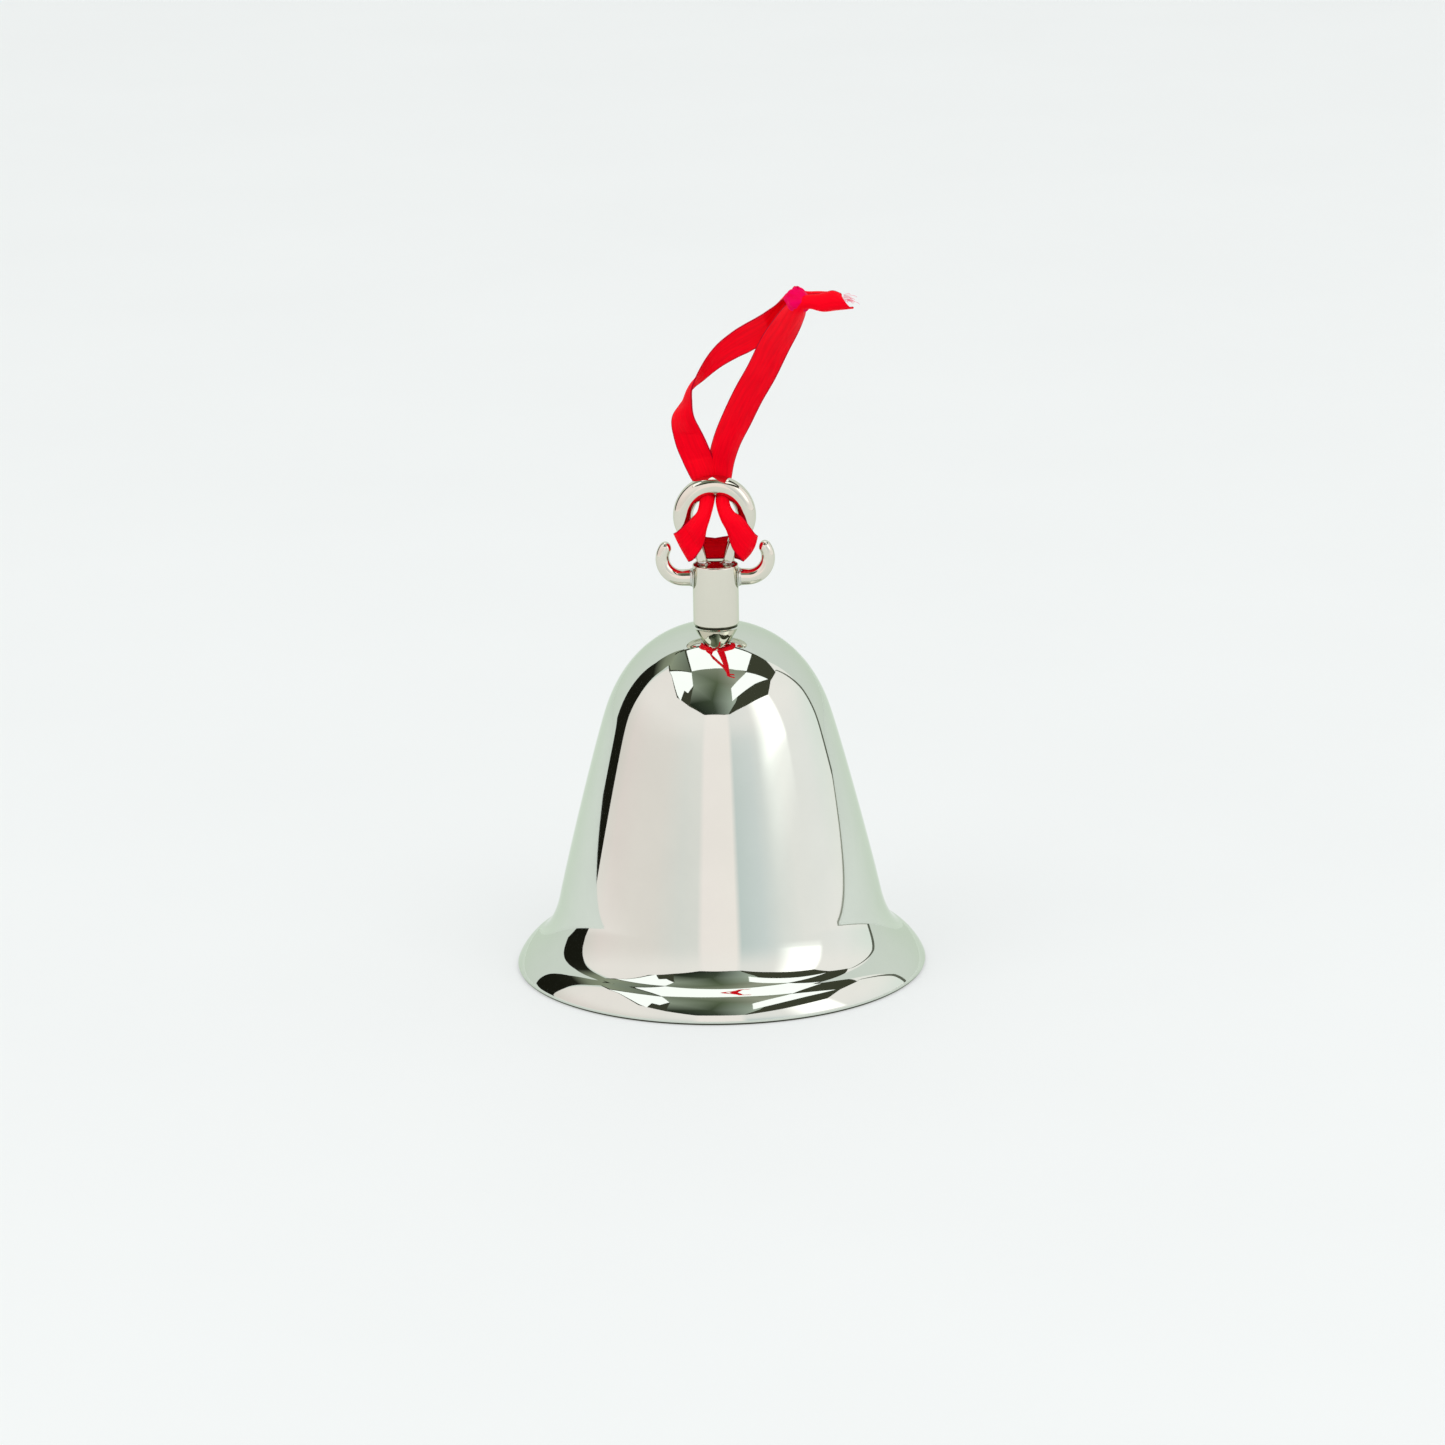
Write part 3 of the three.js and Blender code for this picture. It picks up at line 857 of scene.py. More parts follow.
@dataclass
class Fixing:
    """What holds the post and the clapper: an eye bolt, a washer and a hexagonal nut."""

    pitch: float = 0.5 * MM
    thread_depth: float = 0.24 * MM
    bolt_radius: float = 1.5 * MM
    eye_radius: float = 2.45 * MM
    eye_wire: float = 0.75 * MM
    hole: float = 1.8 * MM
    flats: float = 5.5 * MM
    chamfer: float = 0.35 * MM

    def bolt(self) -> None:
        """The bolt: a thread whose radius follows height less turn, and a wire eye below it."""
        low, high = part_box("eye_bolt")
        centre = low.z + self.eye_wire + self.eye_radius
        start = centre + self.eye_radius
        rows, turns = 260, 48
        height = np.linspace(start, high.z, rows)[:, None]
        angle = (np.arange(turns) * (math.tau / turns))[None, :]
        phase = (height / self.pitch - angle / math.tau) % 1.0
        run_in = np.clip((height - start) / (0.4 * MM), 0, 1)
        radius = self.bolt_radius - self.thread_depth * np.abs(2 * phase - 1) * run_in
        points = np.stack([radius * np.cos(angle), radius * np.sin(angle),
                           np.broadcast_to(height, radius.shape)], -1).reshape(-1, 3)
        shank = Skin(points, grid_faces(rows, turns, False, True), end_caps(rows, turns))
        settle(shank, "bolt_thread", [NICKEL.material()], "root", "plain_metal", "eye_bolt")
        ring = np.linspace(0, math.tau, 120, endpoint=False)
        line = np.stack([np.sin(ring), np.zeros_like(ring), np.cos(ring)], 1) * self.eye_radius
        eye = wire(line + [0, 0, centre], np.full(120, self.eye_wire), 24, closed=True)
        settle(eye, "bolt_eye", [NICKEL.material()], "root", "plain_metal")

    def washer(self) -> None:
        """The washer, with its edges eased."""
        low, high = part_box("crown_washer")
        eased = 0.1 * MM
        bottom, top, outside = low.z, high.z, high.x
        outline = np.array([
            [self.hole, bottom], [outside - eased, bottom], [outside, bottom + eased],
            [outside, top - eased], [outside - eased, top], [self.hole, top]])
        settle(lathe(outline, 72), "crown_washer_plate", [NICKEL.material()], "root",
               "plain_metal", "crown_washer")

    def nut(self) -> None:
        """The nut: at each angle the radius is the hexagon's, or the chamfer cone's if less."""
        low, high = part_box("lock_nut")
        turns = 144
        angle = np.arange(turns) * (math.tau / turns)
        fold = (angle + math.pi / 6) % (math.pi / 3) - math.pi / 6
        hexagon = self.flats / 2 / np.cos(fold)
        crest = self.flats / 2 / math.cos(math.pi / 6)
        heights = np.array([0, 0, 0.3, 1.0, 1.0, 0.3, 0, 0]) * self.chamfer
        level = np.concatenate([low.z + heights[:4], high.z - heights[4:]])
        cone = np.array([0, self.flats / 2 - 0.1 * MM, self.flats / 2 + 0.1 * MM, crest] * 2)
        cone[4:] = cone[:4][::-1]
        radius = np.minimum(hexagon[None, :], cone[:, None])
        radius[[0, -1]] = self.hole - 0.28 * MM
        points = radius[..., None] * spokes(turns)[None] + UP * level[:, None, None]
        skin = Skin(points.reshape(-1, 3), grid_faces(8, turns, True, True))
        piece = settle(skin, "hexagon_nut", [NICKEL.material()], "root", "plain_metal",
                       "lock_nut")
        piece.data.polygons.foreach_set("use_smooth", np.zeros(len(piece.data.polygons), bool))

    def build(self) -> None:
        """Builds the bolt, the washer and the nut."""
        self.bolt()
        self.washer()
        self.nut()


# ---- clapper ----


@dataclass
class Clapper:
    """The link under the eye bolt, the clapper's wire with its own eye, and the ball."""

    link_wire: float = 0.5 * MM
    link_width: float = 3.6 * MM
    eye_radius: float = 1.8 * MM
    eye_wire: float = 0.6 * MM
    rod_radius: float = 0.7 * MM

    def link(self) -> None:
        """The link: wire along two half circles joined by two straights, in the YZ plane."""
        low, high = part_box("clapper_link")
        half = self.link_width / 2
        middle = (low.z + high.z) / 2
        straight = (high.z - low.z) / 2 - self.link_wire - half
        angle = np.linspace(0, math.pi, 50)
        top = np.stack([np.zeros(50), half * np.cos(angle), straight + half * np.sin(angle)], 1)
        line = np.vstack([top, -top * [1, 1, 1]])
        line = evenly(np.vstack([line, line[:1]]), 161)[:-1] + [0, 0, middle]
        skin = wire(line, np.full(160, self.link_wire), 20, np.array([1.0, 0, 0]), True)
        settle(skin, "swing_link", [NICKEL.material()], "link", "plain_metal", "clapper_link")

    def rod(self) -> None:
        """The clapper's wire: straight up from the ball, then once round to make its eye."""
        low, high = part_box("clapper_rod")
        centre = high.z - self.eye_wire - self.eye_radius
        angle = np.radians(np.linspace(-90, 245, 120))
        loop = np.stack([np.cos(angle), np.zeros(120), np.sin(angle)], 1) * self.eye_radius
        loop = loop + [0, 0, centre]
        bend = 0.8 * MM
        stem = np.array([[0, 0, low.z], [0, 0, centre - self.eye_radius - bend]])
        turn = bezier(stem[1], stem[1] + [0, 0, bend * 0.7], loop[6] - [0.5 * MM, 0, 0.1 * MM],
                      loop[9], 14)
        line = evenly(np.vstack([stem[:1], turn, loop[10:]]), 260)
        radius = rounded_radius(line, self.rod_radius, self.eye_wire)
        settle(wire(line, radius, 22), "clapper_wire", [NICKEL.material()], "clapper",
               "plain_metal", "clapper_rod")

    def ball(self) -> None:
        """The ball: a half circle turned about Z, sunk a little where the wire goes in."""
        low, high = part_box("clapper_ball")
        size = (high.x - low.x) / 2
        middle = low.z + size
        angle = np.radians(np.linspace(-90, 80, 70))
        arc = np.stack([size * np.cos(angle), middle + size * np.sin(angle)], 1)
        sunk = middle + size * math.sin(math.radians(80)) - 0.5 * MM
        arc[0, 0] = 0.0
        outline = np.vstack([arc, [[self.rod_radius + 0.1 * MM, sunk], [0.0, sunk]]])
        settle(lathe(outline, 96), "striker_ball", [MIRROR.material()], "clapper",
               "polished_metal", "clapper_ball")

    def build(self) -> None:
        """Builds the link, the wire and the ball."""
        self.link()
        self.rod()
        self.ball()


# ---- ribbon ----

# Each half of the ribbon starts behind the ring's legs, goes round a leg to the front, back
# through the ring, up behind its top, through the knot and on into a tail. A place on a route
# is x, y, z of the ribbon's upper or outer edge, then of its other edge, in millimetres.

LEFT_ROUTE = [
    (0, 2.1, 67.9, 0, 2.1, 64.75), (-2.2, 2.2, 68.2, -1.9, 2.1, 64.75),
    (-4.7, 1.7, 69.0, -3.3, 1.6, 64.9), (-6.3, 0, 69.3, -4.1, 0, 64.85),
    (-5.6, -1.7, 70.2, -3.3, -1.6, 65.6), (-4.4, -2.25, 71.4, -2.0, -2.2, 67.6),
    (-3.4, -2.2, 72.3, -1.45, -2.2, 69.6), (-2.6, -1.7, 73.1, -1.2, -1.8, 71.6),
    (-2.2, -0.4, 74.2, -0.6, -0.5, 73.4), (-2.3, 1.5, 74.6, 0.0, 1.5, 74.4),
    (-2.9, 2.3, 76.4, 0.4, 2.3, 76.6), (-3.7, 2.3, 77.9, 0.4, 2.3, 78.6),
    (-4.7, 2.3, 80.0, -0.1, 2.3, 80.7), (-5.7, 2.3, 82.6, -1.0, 2.3, 83.1),
    (-6.3, 2.6, 85.4, -2.0, 2.4, 85.3), (-6.2, 3.1, 87.2, -2.9, 1.6, 87.5),
    (-5.2, 3.7, 88.7, -3.2, 1.4, 89.8), (-3.0, 4.1, 91.3, -3.0, 0.9, 92.5),
    (-1.2, 3.4, 92.9, -1.3, 2.4, 95.8), (1.3, 3.0, 94.9, 0.6, 3.0, 98.2),
    (3.9, 2.8, 96.4, 2.9, 3.5, 100.0), (6.0, 2.7, 97.4, 4.7, 3.7, 101.1),
    (8.4, 2.7, 98.9, 7.0, 3.4, 102.4), (10.4, 2.7, 101.4, 9.3, 2.8, 103.9),
    (12.1, 2.5, 104.0, 11.3, 2.3, 105.4), (13.3, 1.7, 104.8, 13.0, 1.7, 105.9),
    (15.2, 2.2, 104.6, 15.2, 2.2, 105.9), (17.2, 2.7, 103.8, 17.2, 2.3, 106.0),
    (18.9, 2.9, 103.7, 18.9, 2.5, 105.8), (20.4, 3.0, 103.9, 19.8, 2.6, 105.5),
]
RIGHT_ROUTE = [
    (0, 2.1, 67.9, 0, 2.1, 64.75), (2.2, 2.2, 68.2, 1.9, 2.1, 64.75),
    (4.9, 1.7, 68.6, 3.3, 1.6, 64.8), (6.5, 0, 68.7, 4.25, 0, 64.75),
    (6.1, -1.7, 69.6, 3.9, -1.6, 65.5), (5.2, -2.3, 71.0, 2.7, -2.2, 67.4),
    (4.2, -2.3, 72.3, 2.1, -2.2, 69.4), (3.0, -1.9, 73.0, 1.5, -1.8, 71.4),
    (2.2, -0.5, 73.9, 0.9, -0.5, 73.3), (2.2, 1.6, 74.5, 0.6, 1.7, 74.3),
    (2.5, 2.9, 76.4, -0.4, 2.9, 76.4), (2.7, 3.1, 77.6, -0.8, 3.0, 77.8),
    (3.2, 3.0, 80.0, -0.6, 3.0, 80.9), (4.2, 2.6, 82.9, 0.2, 2.6, 84.2),
    (5.8, 2.0, 86.1, 1.6, 2.0, 87.9), (7.6, 1.5, 89.8, 3.5, 1.5, 92.0),
    (9.7, 1.2, 93.5, 5.55, 1.2, 95.7), (11.75, 1.0, 97.7, 7.6, 1.0, 99.8),
    (13.3, 1.0, 100.7, 9.6, 1.0, 102.6), (14.2, 1.1, 102.9, 11.2, 1.1, 104.4),
    (14.5, 1.3, 104.3, 12.5, 1.3, 105.4), (14.3, 1.4, 104.6, 13.6, 1.4, 105.9),
    (15.4, 1.0, 104.6, 15.2, 1.0, 106.0), (17.2, 0.6, 103.9, 17.2, 0.4, 106.5),
    (19.3, 0.3, 104.1, 18.6, 0.0, 106.9), (21.7, 0.2, 104.4, 19.9, -0.1, 106.5),
]


@dataclass
class Ribbon:
    """One length of narrow satin ribbon, hitched round the ring and knotted at the top."""

    width: float = 4.7 * MM
    thickness: float = 0.16 * MM
    steps: int = 16
    across: int = 17
    knot_place: tuple[float, float, float] = (13.3, 1.5, 105.4)  # millimetres, before the lean
    knot_size: tuple[float, float, float] = (4.1 * MM, 3.3 * MM, 3.7 * MM)
    lean_from: float = 80.0  # the lean's own sizes are in millimetres, as the routes are
    lean_reach: float = 31.0
    lean_curve: float = 1.3
    lean_rise: float = 0.21
    lean_draw: float = 0.0011

    def leaning(self, places: Array) -> Array:
        """Carries places of the upright ribbon forwards, more the further along it they are.

        The ribbon rises two for each one to the right, so z + x / 2 measures how far along a place
        is. Its share of the way to the knot, to the power of the curve, is its share of the reach.

        Args:
            places: (..., 3) array in millimetres.

        Returns:
            The leaning places, in metres.
        """
        x, y, z = np.moveaxis(np.asarray(places, dtype=float), -1, 0)
        knot = self.knot_place[2] + self.knot_place[0] / 2
        share = np.clip((z + x / 2 - self.lean_from) / (knot - self.lean_from), 0.0, 1.0)
        forwards = self.lean_reach * share**self.lean_curve
        x = x * (1 - self.lean_draw * forwards)
        return np.stack([x, y - forwards, z + self.lean_rise * forwards], -1) * MM

    def sheet(self, route: list, cup: float) -> tuple[Array, Array, Array]:
        """The ribbon's middle surface: across it, an arc whose length is the cloth's width.

        Where the edges are nearer than the width, the arc's half angle f has sin(f) / f equal to
        the edges' distance over the width, so that no cloth is lost.

        Args:
            route: places of six numbers, in millimetres.
            cup: which way the arc bulges, 1 or -1 along the face's own direction.

        Returns:
            Points (n, across, 3), unit normals of the same shape, and the centreline (n, 3).
        """
        edges = self.leaning(np.array(route).reshape(-1, 2, 3))
        line = through(edges.reshape(len(edges), 6), self.steps)
        upper, lower = line[:, :3], line[:, 3:]
        middle, span = (upper + lower) / 2, lower - upper
        chord = np.linalg.norm(span, axis=1)
        along = unit(np.gradient(middle, axis=0))
        face = unit(np.cross(along, span)) * cup
        share = np.clip(chord / self.width, 0.25, 0.999)
        half = np.sqrt(6 * (1 - share))
        for _ in range(6):
            slope = (half * np.cos(half) - np.sin(half)) / half**2
            half = half - (np.sin(half) / half - share) / slope
        v = np.linspace(-1, 1, self.across)[None, :, None]
        half, chord = half[:, None, None], chord[:, None, None]
        size = chord / 2 / np.sin(half)
        side = unit(span)[:, None]
        lift = size * (np.cos(half * v) - np.cos(half))
        points = middle[:, None] + side * size * np.sin(half * v) + face[:, None] * lift
        normals = unit(face[:, None] * np.cos(half * v) + side * np.sin(half * v))
        return points, normals, middle

    def strip(self, points: Array, normals: Array) -> Skin:
        """Cloth of even thickness: the surface moved half a thickness each way, edges rounded.

        Args:
            points: (n, across, 3) places.
            normals: a unit vector at each.

        Returns:
            The closed skin, with its map.
        """
        rows, columns = points.shape[:2]
        half = self.thickness / 2
        v = np.linspace(-1, 1, columns)
        cord = 1 + 0.35 * np.clip((np.abs(v) - 0.9) / 0.06, 0, 1)
        thick = normals * (half * cord[None, :, None])
        loop = np.concatenate([points + thick, (points - thick)[:, ::-1]], axis=1)
        across = np.concatenate([v, v[::-1]]) * self.width / 2
        far = travelled(points[:, columns // 2])
        uv = np.stack(np.broadcast_arrays(far[:, None], across[None, :]), -1).reshape(-1, 2)
        count = 2 * columns
        end = (rows - 1) * count
        start_cap = [[i, i + 1, count - 2 - i, count - 1 - i] for i in range(columns - 1)]
        end_cap = [[end + k for k in reversed(face)] for face in start_cap]
        quads = grid_faces(rows, count, False, True)
        return Skin(loop.reshape(-1, 3), quads, start_cap + end_cap, uv)

    def half(self, name: str, route: list, cup: float, cloth: bpy.types.Material,
             *nodes: str) -> tuple[bpy.types.Object, Array]:
        """One half of the ribbon and its centreline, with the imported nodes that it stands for.

        Args:
            name: the piece's name.
            route: places of six numbers.
            cup: which way it bulges.
            cloth: its material.
            nodes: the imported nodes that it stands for.

        Returns:
            The piece, and its centreline.
        """
        points, normals, middle = self.sheet(route, cup)
        skin = self.strip(points, normals)
        return settle(skin, name, [cloth], "root", "ribbon", *nodes), middle

    def knot(self, cloth: bpy.types.Material) -> bpy.types.Object:
        """The knot: an ellipsoid, narrower at its top, whose skin is drawn into slanting folds.

        With t round it and p from pole to pole, the radius is one, plus a fold of 8% that runs
        with 3 t + 4 p, plus a finer one of 3% that runs with 7 t - 5 p. Its width falls by a third
        towards the top, which is also moved a little to the left.

        Args:
            cloth: its material.

        Returns:
            The piece.
        """
        rows, turns = 60, 96
        p = np.linspace(0, math.pi, rows)[1:-1, None]
        t = (np.arange(turns) * math.tau / turns)[None, :]
        fold = 1 + 0.08 * np.sin(3 * t + 4 * p) + 0.03 * np.sin(7 * t - 5 * p)
        narrow = 1 - 0.33 * np.clip(np.cos(p), 0, 1)
        ball = np.stack([np.sin(p) * np.cos(t) * narrow - 0.12 * np.cos(p),
                         np.sin(p) * np.sin(t) * narrow,
                         np.broadcast_to(np.cos(p), (rows - 2, turns))], -1)
        ball = ball * fold[..., None] * np.array(self.knot_size) / 2
        reach = self.knot_size[2] / 2
        points = np.vstack([ball[::-1].reshape(-1, 3), [[0, 0, -reach], [0, 0, reach]]])
        points = points + self.leaning(self.knot_place)
        uv = np.vstack([
            np.stack(np.broadcast_arrays(t * 2 * MM, (p - math.pi / 2) * 1.4 * MM), -1)
            .reshape(-1, 2), [[0, 0], [0, 0]]])
        skin = Skin(points, grid_faces(rows - 2, turns, False, True),
                    pole_caps(rows - 2, turns), uv)
        return settle(skin, "ribbon_knot_folds", [cloth], "root", "ribbon", "ribbon_knot")

    def threads(self) -> bpy.types.Object:
        """Loose yarns at the cut tails: fine wires that bend down and away."""
        rng = np.random.default_rng(7)
        yarn = 0.035 * MM
        points, quads, caps, count = [], [], [], 0
        for start in ((20.2, 0.0, 106.1), (20.8, 0.1, 105.4), (20.1, 2.7, 105.0)):
            for _ in range(5):
                jitter = rng.uniform(-0.35, 0.35, 3)
                a = self.leaning(np.array(start) + jitter * [0.2, 0.2, 1.0])
                reach = rng.uniform(0.7, 1.9) * MM
                b = a + np.array([reach, jitter[0] * MM, -0.3 * reach + jitter[1] * MM])
                line = bezier(a, a + [reach * 0.4, 0, 0.1 * MM], b + [0, 0, 0.3 * MM], b, 12)
                skin = wire(line, np.full(12, yarn), 6)
                points.append(skin.points)
                quads.append(skin.quads + count)
                caps += [[i + count for i in cap] for cap in skin.caps]
                count += len(skin.points)
        skin = Skin(np.vstack(points), np.vstack(quads), caps)
        return settle(skin, "frayed_threads", [Thread().material()], "root", "ribbon")

    def build(self) -> None:
        cloth = Satin(half_width=self.width / 2).material()
        left, left_line = self.half(
            "ribbon_left", LEFT_ROUTE, -1, cloth,
            "ribbon_hitch", "ribbon_left_strand", "ribbon_back_tail")
        right, right_line = self.half(
            "ribbon_right", RIGHT_ROUTE, 1, cloth, "ribbon_right_strand", "ribbon_front_tail")
        # The knot takes a pinker red than the ribbon: painted sheen over the whole knot.
        knot_sheen_satin = Satin("red satin with painted sheen", (0.84, 0.0, 0.095), (0.80, 0.0, 0.055),
                        half_width=self.width / 2).material()
        knot, threads = self.knot(knot_sheen_satin), self.threads()


# ---- studio ----


@dataclass
class Camera:
    """A long lens that looks down a little, turned a degree about its own axis."""

    lens: float = 150.0
    distance: float = 0.9397
    target: float = 27.0 * MM
    pitch: float = 16.47
    roll: float = 0.93
    aim_up: float = 0.70
    aim_side: float = 0.045

    def build(self) -> None:
        """Places the camera and makes it the scene's own."""
        data = bpy.data.cameras.new("camera")
        data.lens = self.lens
        data.sensor_width = 36.0
        data.clip_start, data.clip_end = 0.05, 20.0
        camera = bpy.data.objects.new("camera", data)
        bpy.context.scene.collection.objects.link(camera)
        down = math.radians(self.pitch)
        place = Vector((0, -math.cos(down), math.sin(down))) * self.distance
        place.z += self.target
        level = Matrix.Rotation(math.radians(90 - self.pitch + self.aim_up), 4, "X")
        swing = Matrix.Rotation(math.radians(-self.aim_side), 4, "Z")
        roll = Matrix.Rotation(math.radians(-self.roll), 4, "Z")
        camera.matrix_world = Matrix.Translation(place) @ swing @ level @ roll
        bpy.context.scene.camera = camera


def ease(value: Array, start: float, end: float) -> Array:
    """0 before start and 1 past end, with a smooth step between them."""
    t = np.clip((np.asarray(value, dtype=float) - start) / (end - start), 0.0, 1.0)
    return t * t * (3 - 2 * t)


def direction(azimuth: float | Array, elevation: float | Array) -> Array:
    """The way to a place in the room: azimuth 0 is the front and grows to the right.

    Args:
        azimuth, elevation: degrees.

    Returns:
        Unit vectors along the last axis.
    """
    a, e = np.radians(azimuth), np.radians(elevation)
    a, e = np.broadcast_arrays(a, e)
    return np.stack([np.sin(a) * np.cos(e), -np.cos(a) * np.cos(e), np.sin(e)], -1)


@dataclass
class Studio:
    """A pale floor, soft lights, and panels that only the polished metal sees.

    An overhead outline is given as (x, y) for a height of one: it holds at any height.
    """

    floor_radius: float = 4.0
    tent_radius: float = 1.2
    ceiling: float = 0.95
    tent_from: float = -107.0
    tent_to: float = 119.0
    air: tuple[float, float, float] = (0.86, 0.885, 0.88)
    crown_tone: tuple[float, float, float] = (1.20, 1.10, 1.12)
    gap_radius: float = 1.15  # where the dark gap, the seam and the hem stand
    backdrop_radius: float = 2.2
    backdrop_height: float = 3.0
    shine: bpy.types.Material | None = None

    def glow(self) -> bpy.types.Material:
        """A material that shines with each point's own colour."""
        material = bpy.data.materials.new("panel_glow")
        material.use_nodes = True
        tree = material.node_tree
        tree.nodes.remove(tree.nodes["Principled BSDF"])
        shine = tree.nodes.new("ShaderNodeEmission")
        tone = tree.nodes.new("ShaderNodeAttribute")
        tone.attribute_name = "tone"
        tree.links.new(tone.outputs["Color"], shine.inputs["Color"])
        tree.links.new(shine.outputs[0], tree.nodes["Material Output"].inputs["Surface"])
        return material

    def panel(self, name: str, skin: Skin, tones: Array) -> None:
        """A panel seen only in reflections.

        Args:
            name: the panel's name.
            skin: its points and faces.
            tones: a colour for each point, or one for all.
        """
        piece = skin.build(name, [self.shine])
        tones = np.broadcast_to(np.asarray(tones, dtype=float), (len(skin.points), 3))
        rgba = np.concatenate([tones, np.ones((len(tones), 1))], 1).astype(np.float32)
        layer = piece.data.color_attributes.new("tone", "FLOAT_COLOR", "POINT")
        layer.data.foreach_set("color", rgba.ravel())
        for sight in ("camera", "diffuse", "shadow"):
            setattr(piece, f"visible_{sight}", False)
        piece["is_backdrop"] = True

    def patch(self, name: str, grid: Array, tones: Array) -> None:
        """A panel on a grid (rows, columns, 3), with a colour for each place or one for all.

        Args:
            name: the panel's name.
            grid: its places.
            tones: its colours.
        """
        rows, columns = grid.shape[:2]
        skin = Skin(grid.reshape(-1, 3), grid_faces(rows, columns, False, False))
        tones = np.broadcast_to(np.asarray(tones, dtype=float), grid.shape)
        self.panel(name, skin, tones.reshape(-1, 3))

    def window(self, name: str, outline: list, layer: int, tones: object) -> None:
        """A flat overhead panel: its outline times its height, lower for each further layer.

        Args:
            name: the panel's name.
            outline: (x, y) corners for a height of one.
            layer: how many layers down.
            tones: its colours.
        """
        height = self.ceiling - 0.01 * layer
        flat = np.array(outline, dtype=float) * height
        points = np.concatenate([flat, np.full((len(flat), 1), height)], 1)
        skin = Skin(points, np.empty((0, 4), dtype=int), [list(range(len(points)))])
        self.panel(name, skin, tones)

    def cloth(self, azimuth: Array, elevation: Array) -> Array:
        """Tone of the tent: tones by azimuth, joined by straight lines.

        Above 8 degrees they fade towards one warm white, and a lamp behind the cloth brightens it
        between azimuths 45 and 72, faintly from 10 degrees up and fully from 15.

        Args:
            azimuth, elevation: degrees.

        Returns:
            A colour for each direction.
        """
        knots = np.array([
            [-107, 0.91, 0.84, 0.83], [-92, 1.01, 0.88, 0.89], [-70, 1.01, 0.91, 0.91],
            [-50, 1.00, 0.91, 0.91], [-30, 0.95, 0.92, 0.93], [-17, 0.98, 0.94, 0.95],
            [-13, 1.18, 1.05, 1.07], [10, 1.18, 1.06, 1.07], [14, 0.73, 0.79, 0.82],
            [30, 0.82, 0.86, 0.90], [44, 0.98, 0.97, 0.99], [60, 1.08, 1.03, 1.05],
            [90, 1.09, 1.05, 1.08], [119, 1.00, 1.04, 1.03]])
        tone = np.stack([np.interp(azimuth, knots[:, 0], knots[:, k]) for k in (1, 2, 3)], -1)
        high = 0.65 * ease(elevation, 8, 34) + 0.5 * ease(elevation, 5, -1)
        tone = tone + (np.array(self.crown_tone) - tone) * high[..., None]
        lamp = ease(azimuth, 36, 53) * ease(azimuth, 74, 70)
        lamp = lamp * (0.3 * ease(elevation, 8, 12) + 0.7 * ease(elevation, 12.5, 15))
        return tone + 0.62 * lamp[..., None]

    def tent(self) -> None:
        """The cloth: an upright wall on an arc, and the flat top that joins it."""
        azimuth = np.linspace(self.tent_from, self.tent_to, 227)[None, :]
        height = np.linspace(-0.01, self.ceiling, 40)[:, None]
        way = direction(azimuth, 0.0)
        wall = way * self.tent_radius + UP * height[..., None]
        slope = np.degrees(np.arctan2(height, self.tent_radius))
        spread = np.broadcast_arrays(azimuth, slope)
        self.patch("tent_wall", wall, self.cloth(*spread))
        reach = np.linspace(self.tent_radius, 0.45, 30)[:, None]
        top = way * reach[..., None] + UP * self.ceiling
        slope = np.degrees(np.arctan2(self.ceiling, reach))
        self.patch("tent_top", top, self.cloth(*np.broadcast_arrays(azimuth, slope)))

    def opening(self) -> None:
        """The open top: a dark hole, its lit middle, and the pale panels and gaps round it."""
        white = (1.42, 1.42, 1.45)
        self.window("open_top", [
            (-0.78, 0.16), (-0.77, -0.02), (-0.87, -0.54), (-0.67, -0.90), (-0.36, -1.25),
            (0.29, -1.27), (0.68, -0.89), (1.11, -0.36), (1.0, 0.0), (1.04, 0.33), (0.75, 0.42),
            (0.46, 0.40), (-0.42, 0.50), (-0.72, 0.48)], 1, (0.06, 0.063, 0.042))
        rows = np.array([[-0.12, -0.40, 0.44], [-0.45, -0.43, 0.42], [-0.85, -0.64, 0.40],
                         [-1.25, -0.36, 0.28]])
        tones = np.array([
            [[0.26, 0.29, 0.23], [0.30, 0.32, 0.25], [0.32, 0.34, 0.27]],
            [[0.34, 0.38, 0.31], [0.12, 0.15, 0.09], [0.46, 0.46, 0.39]],
            [[0.02, 0.027, 0.017], [0.065, 0.085, 0.054], [0.50, 0.56, 0.49]],
            [[0.02, 0.025, 0.018], [0.055, 0.07, 0.052], [0.30, 0.34, 0.30]]])
        share = np.linspace(0, 1, 3)[None, :]
        x = rows[:, 1:2] + (rows[:, 2:3] - rows[:, 1:2]) * share
        y = np.broadcast_to(rows[:, :1], x.shape)
        height = self.ceiling - 0.02
        grid = np.stack([x * height, y * height, np.full(x.shape, height)], -1)
        self.patch("lit_middle", grid, tones)
        self.window("left_wedge", [(-0.74, 0.16), (-0.72, 0.47), (-0.42, 0.47), (-0.40, -0.13)],
                    3, [(0.34, 0.37, 0.28), (0.40, 0.43, 0.32), (0.27, 0.31, 0.25),
                        (0.16, 0.18, 0.14)])
        self.window("left_panel", [
            (-0.77, 0.14), (-0.39, -0.15), (-0.43, -0.43), (-0.58, -0.55), (-0.63, -0.46),
            (-0.82, -0.66), (-0.83, -0.49), (-0.76, -0.02)], 4, white)
        self.window("right_panel", [
            (0.45, -0.13), (0.92, -0.01), (0.69, -0.28), (0.32, -0.84), (0.25, -0.54),
            (0.42, -0.21)], 4, white)
        self.window("top_panel", [
            (-0.39, 0.44), (-0.38, -0.12), (-0.12, -0.145), (0.28, -0.14), (0.45, -0.10),
            (0.47, 0.36)], 4, white)
        self.window("left_rail", [
            (-0.97, 0.75), (-0.72, 0.49), (-0.42, 0.50), (-0.42, 0.53), (-0.73, 0.53),
            (-1.0, 0.79)], 5, (0.03, 0.032, 0.022))

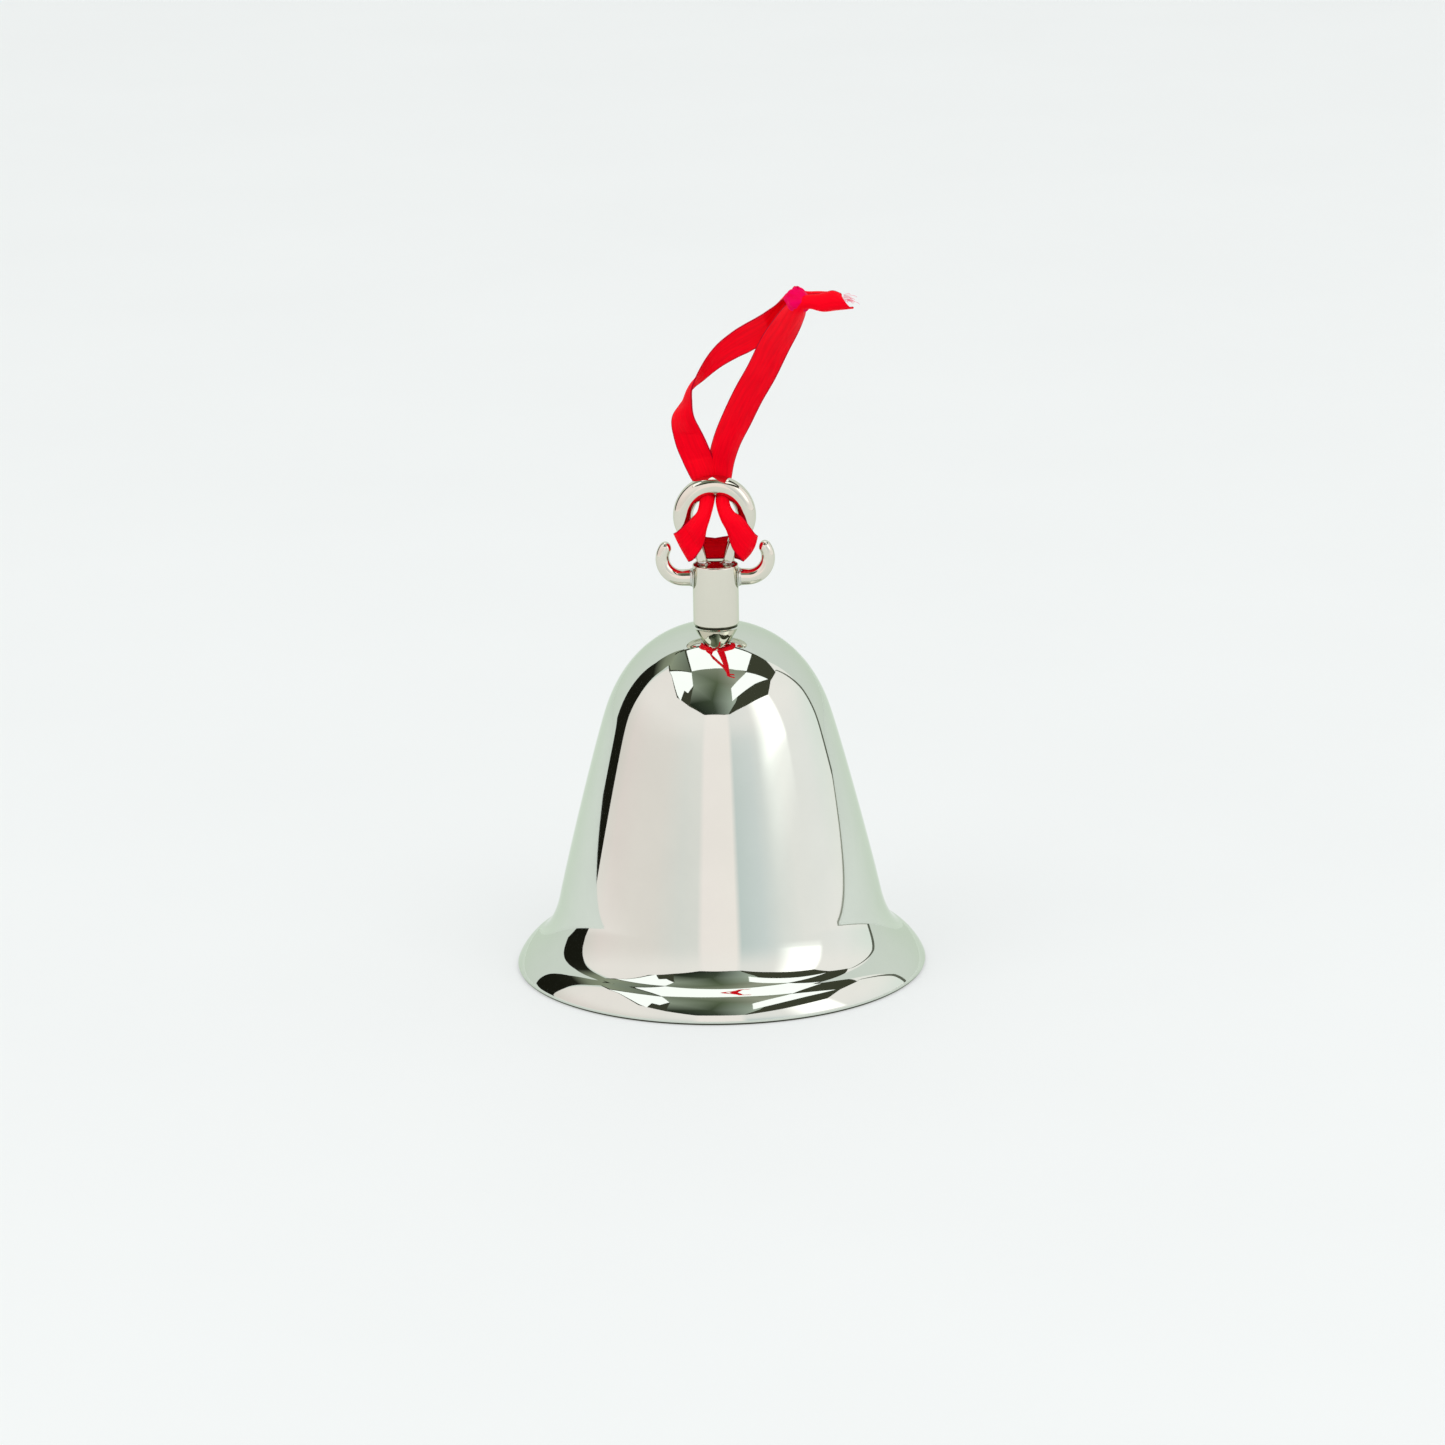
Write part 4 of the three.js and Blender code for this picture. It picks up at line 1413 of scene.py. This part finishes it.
    def sides(self) -> None:
        """The dark gap at the cloth's left end, its right seam and hem, and the backdrop behind."""
        edges = np.array([
            [0, -104, -118], [5, -106, -125], [13, -107, -126], [25, -107, -127],
            [38, -109, -128], [46, -110, -133], [53, -114, -139], [58, -130, -142]], float)
        black, grey = np.array([0.012, 0.012, 0.008]), np.array([0.33, 0.36, 0.27])
        fade = ease(edges[:, 0], 37, 50)[:, None, None]
        tones = black + (grey - black) * np.broadcast_to(fade, (len(edges), 2, 1))
        gap = direction(edges[:, 1:], edges[:, :1]) * self.gap_radius
        self.patch("left_gap", gap, tones)
        seam = np.array([[44, 106, 107.1], [42, 111, 112.3], [33, 114.5, 116.4],
                         [20, 118.4, 120.8], [8, 118.9, 121.4], [-0.5, 118.9, 121.4]], float)
        line = direction(seam[:, 1:], seam[:, :1]) * self.gap_radius
        self.patch("right_seam", line, (0.15, 0.16, 0.13))
        foot = np.linspace(88, 121.4, 24)[None, :]
        hem = direction(foot, np.array([[-0.6], [0.35]])) * self.gap_radius
        self.patch("right_hem", hem, (0.30, 0.31, 0.26))
        azimuth = np.linspace(self.tent_to, 360 + self.tent_from, 40)[None, :]
        height = np.linspace(-0.01, self.backdrop_height, 6)[:, None]
        wall = direction(azimuth, 0.0) * self.backdrop_radius + UP * height[..., None]
        self.patch("backdrop", wall, (0.84, 0.872, 0.85))

    def floor(self) -> None:
        """The floor: one wide disc of pale paper, just under the rim."""
        outline = np.array([[0, -0.01], [self.floor_radius, -0.01], [self.floor_radius, 0], [0, 0]])
        outline[:, 1] -= 0.02 * MM
        nodes = Nodes("pale paper")
        mottle = nodes.cloud(nodes.place(), Scale=14.0, Detail=3.0)
        nodes.paint(nodes.ramp(mottle, [(0.3, (0.40, 0.41, 0.41)), (0.7, (0.41, 0.42, 0.42))]))
        nodes.set({"Emission Color": (0.44, 0.447, 0.444, 1.0), "Emission Strength": 1.0,
                   "Roughness": 0.8, "Specular IOR Level": 0.2})
        lathe(outline, 96).build("floor", [nodes.material])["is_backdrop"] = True

    def light(self, name: str, azimuth: float, elevation: float, size: float,
              power: float) -> None:
        """A soft square light a metre and a half away, aimed at the ornament.

        Args:
            name: the light's name.
            azimuth, elevation: where it stands.
            size: its side in metres.
            power: its power in watts.
        """
        data = bpy.data.lights.new(name, "AREA")
        data.size, data.energy = size, power
        lamp = bpy.data.objects.new(name, data)
        bpy.context.scene.collection.objects.link(lamp)
        way = Vector(direction(azimuth, elevation))
        lamp.location = way * 1.5 + Vector((0, 0, 50 * MM))
        lamp.rotation_euler = way.to_track_quat("Z", "Y").to_euler()
        lamp.visible_glossy = False

    def world(self) -> None:
        """Even light from all round."""
        world = bpy.data.worlds.new("air")
        world.use_nodes = True
        ground = world.node_tree.nodes["Background"]
        ground.inputs["Color"].default_value = (*self.air, 1.0)
        ground.inputs["Strength"].default_value = 1.0
        bpy.context.scene.world = world

    def build(self) -> None:
        """Builds the floor, the panels, the lights and the air."""
        bpy.context.scene.view_settings.view_transform = "Standard"
        self.shine = self.glow()
        self.floor()
        self.tent()
        self.opening()
        self.sides()
        self.light("key", 40, 45, 1.0, 4.4)
        self.light("fill", -50, 35, 1.0, 3.4)
        self.world()


# ---- assembly ----


def corners() -> list[list[float]]:
    """The shown object's lowest and highest corner, as plain numbers."""
    return [[float(x) for x in corner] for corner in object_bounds()]


def main() -> None:
    """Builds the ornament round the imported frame, then the room."""
    logging.basicConfig(level=logging.INFO, format="%(name)s: %(message)s")
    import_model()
    Camera().build()
    for part in (Ribbon(), BellShell(), Crown(), Fixing(), Clapper(), Studio()):
        log.info("building %s", type(part).__name__)
        part.build()


if __name__ == "__main__":
    main()
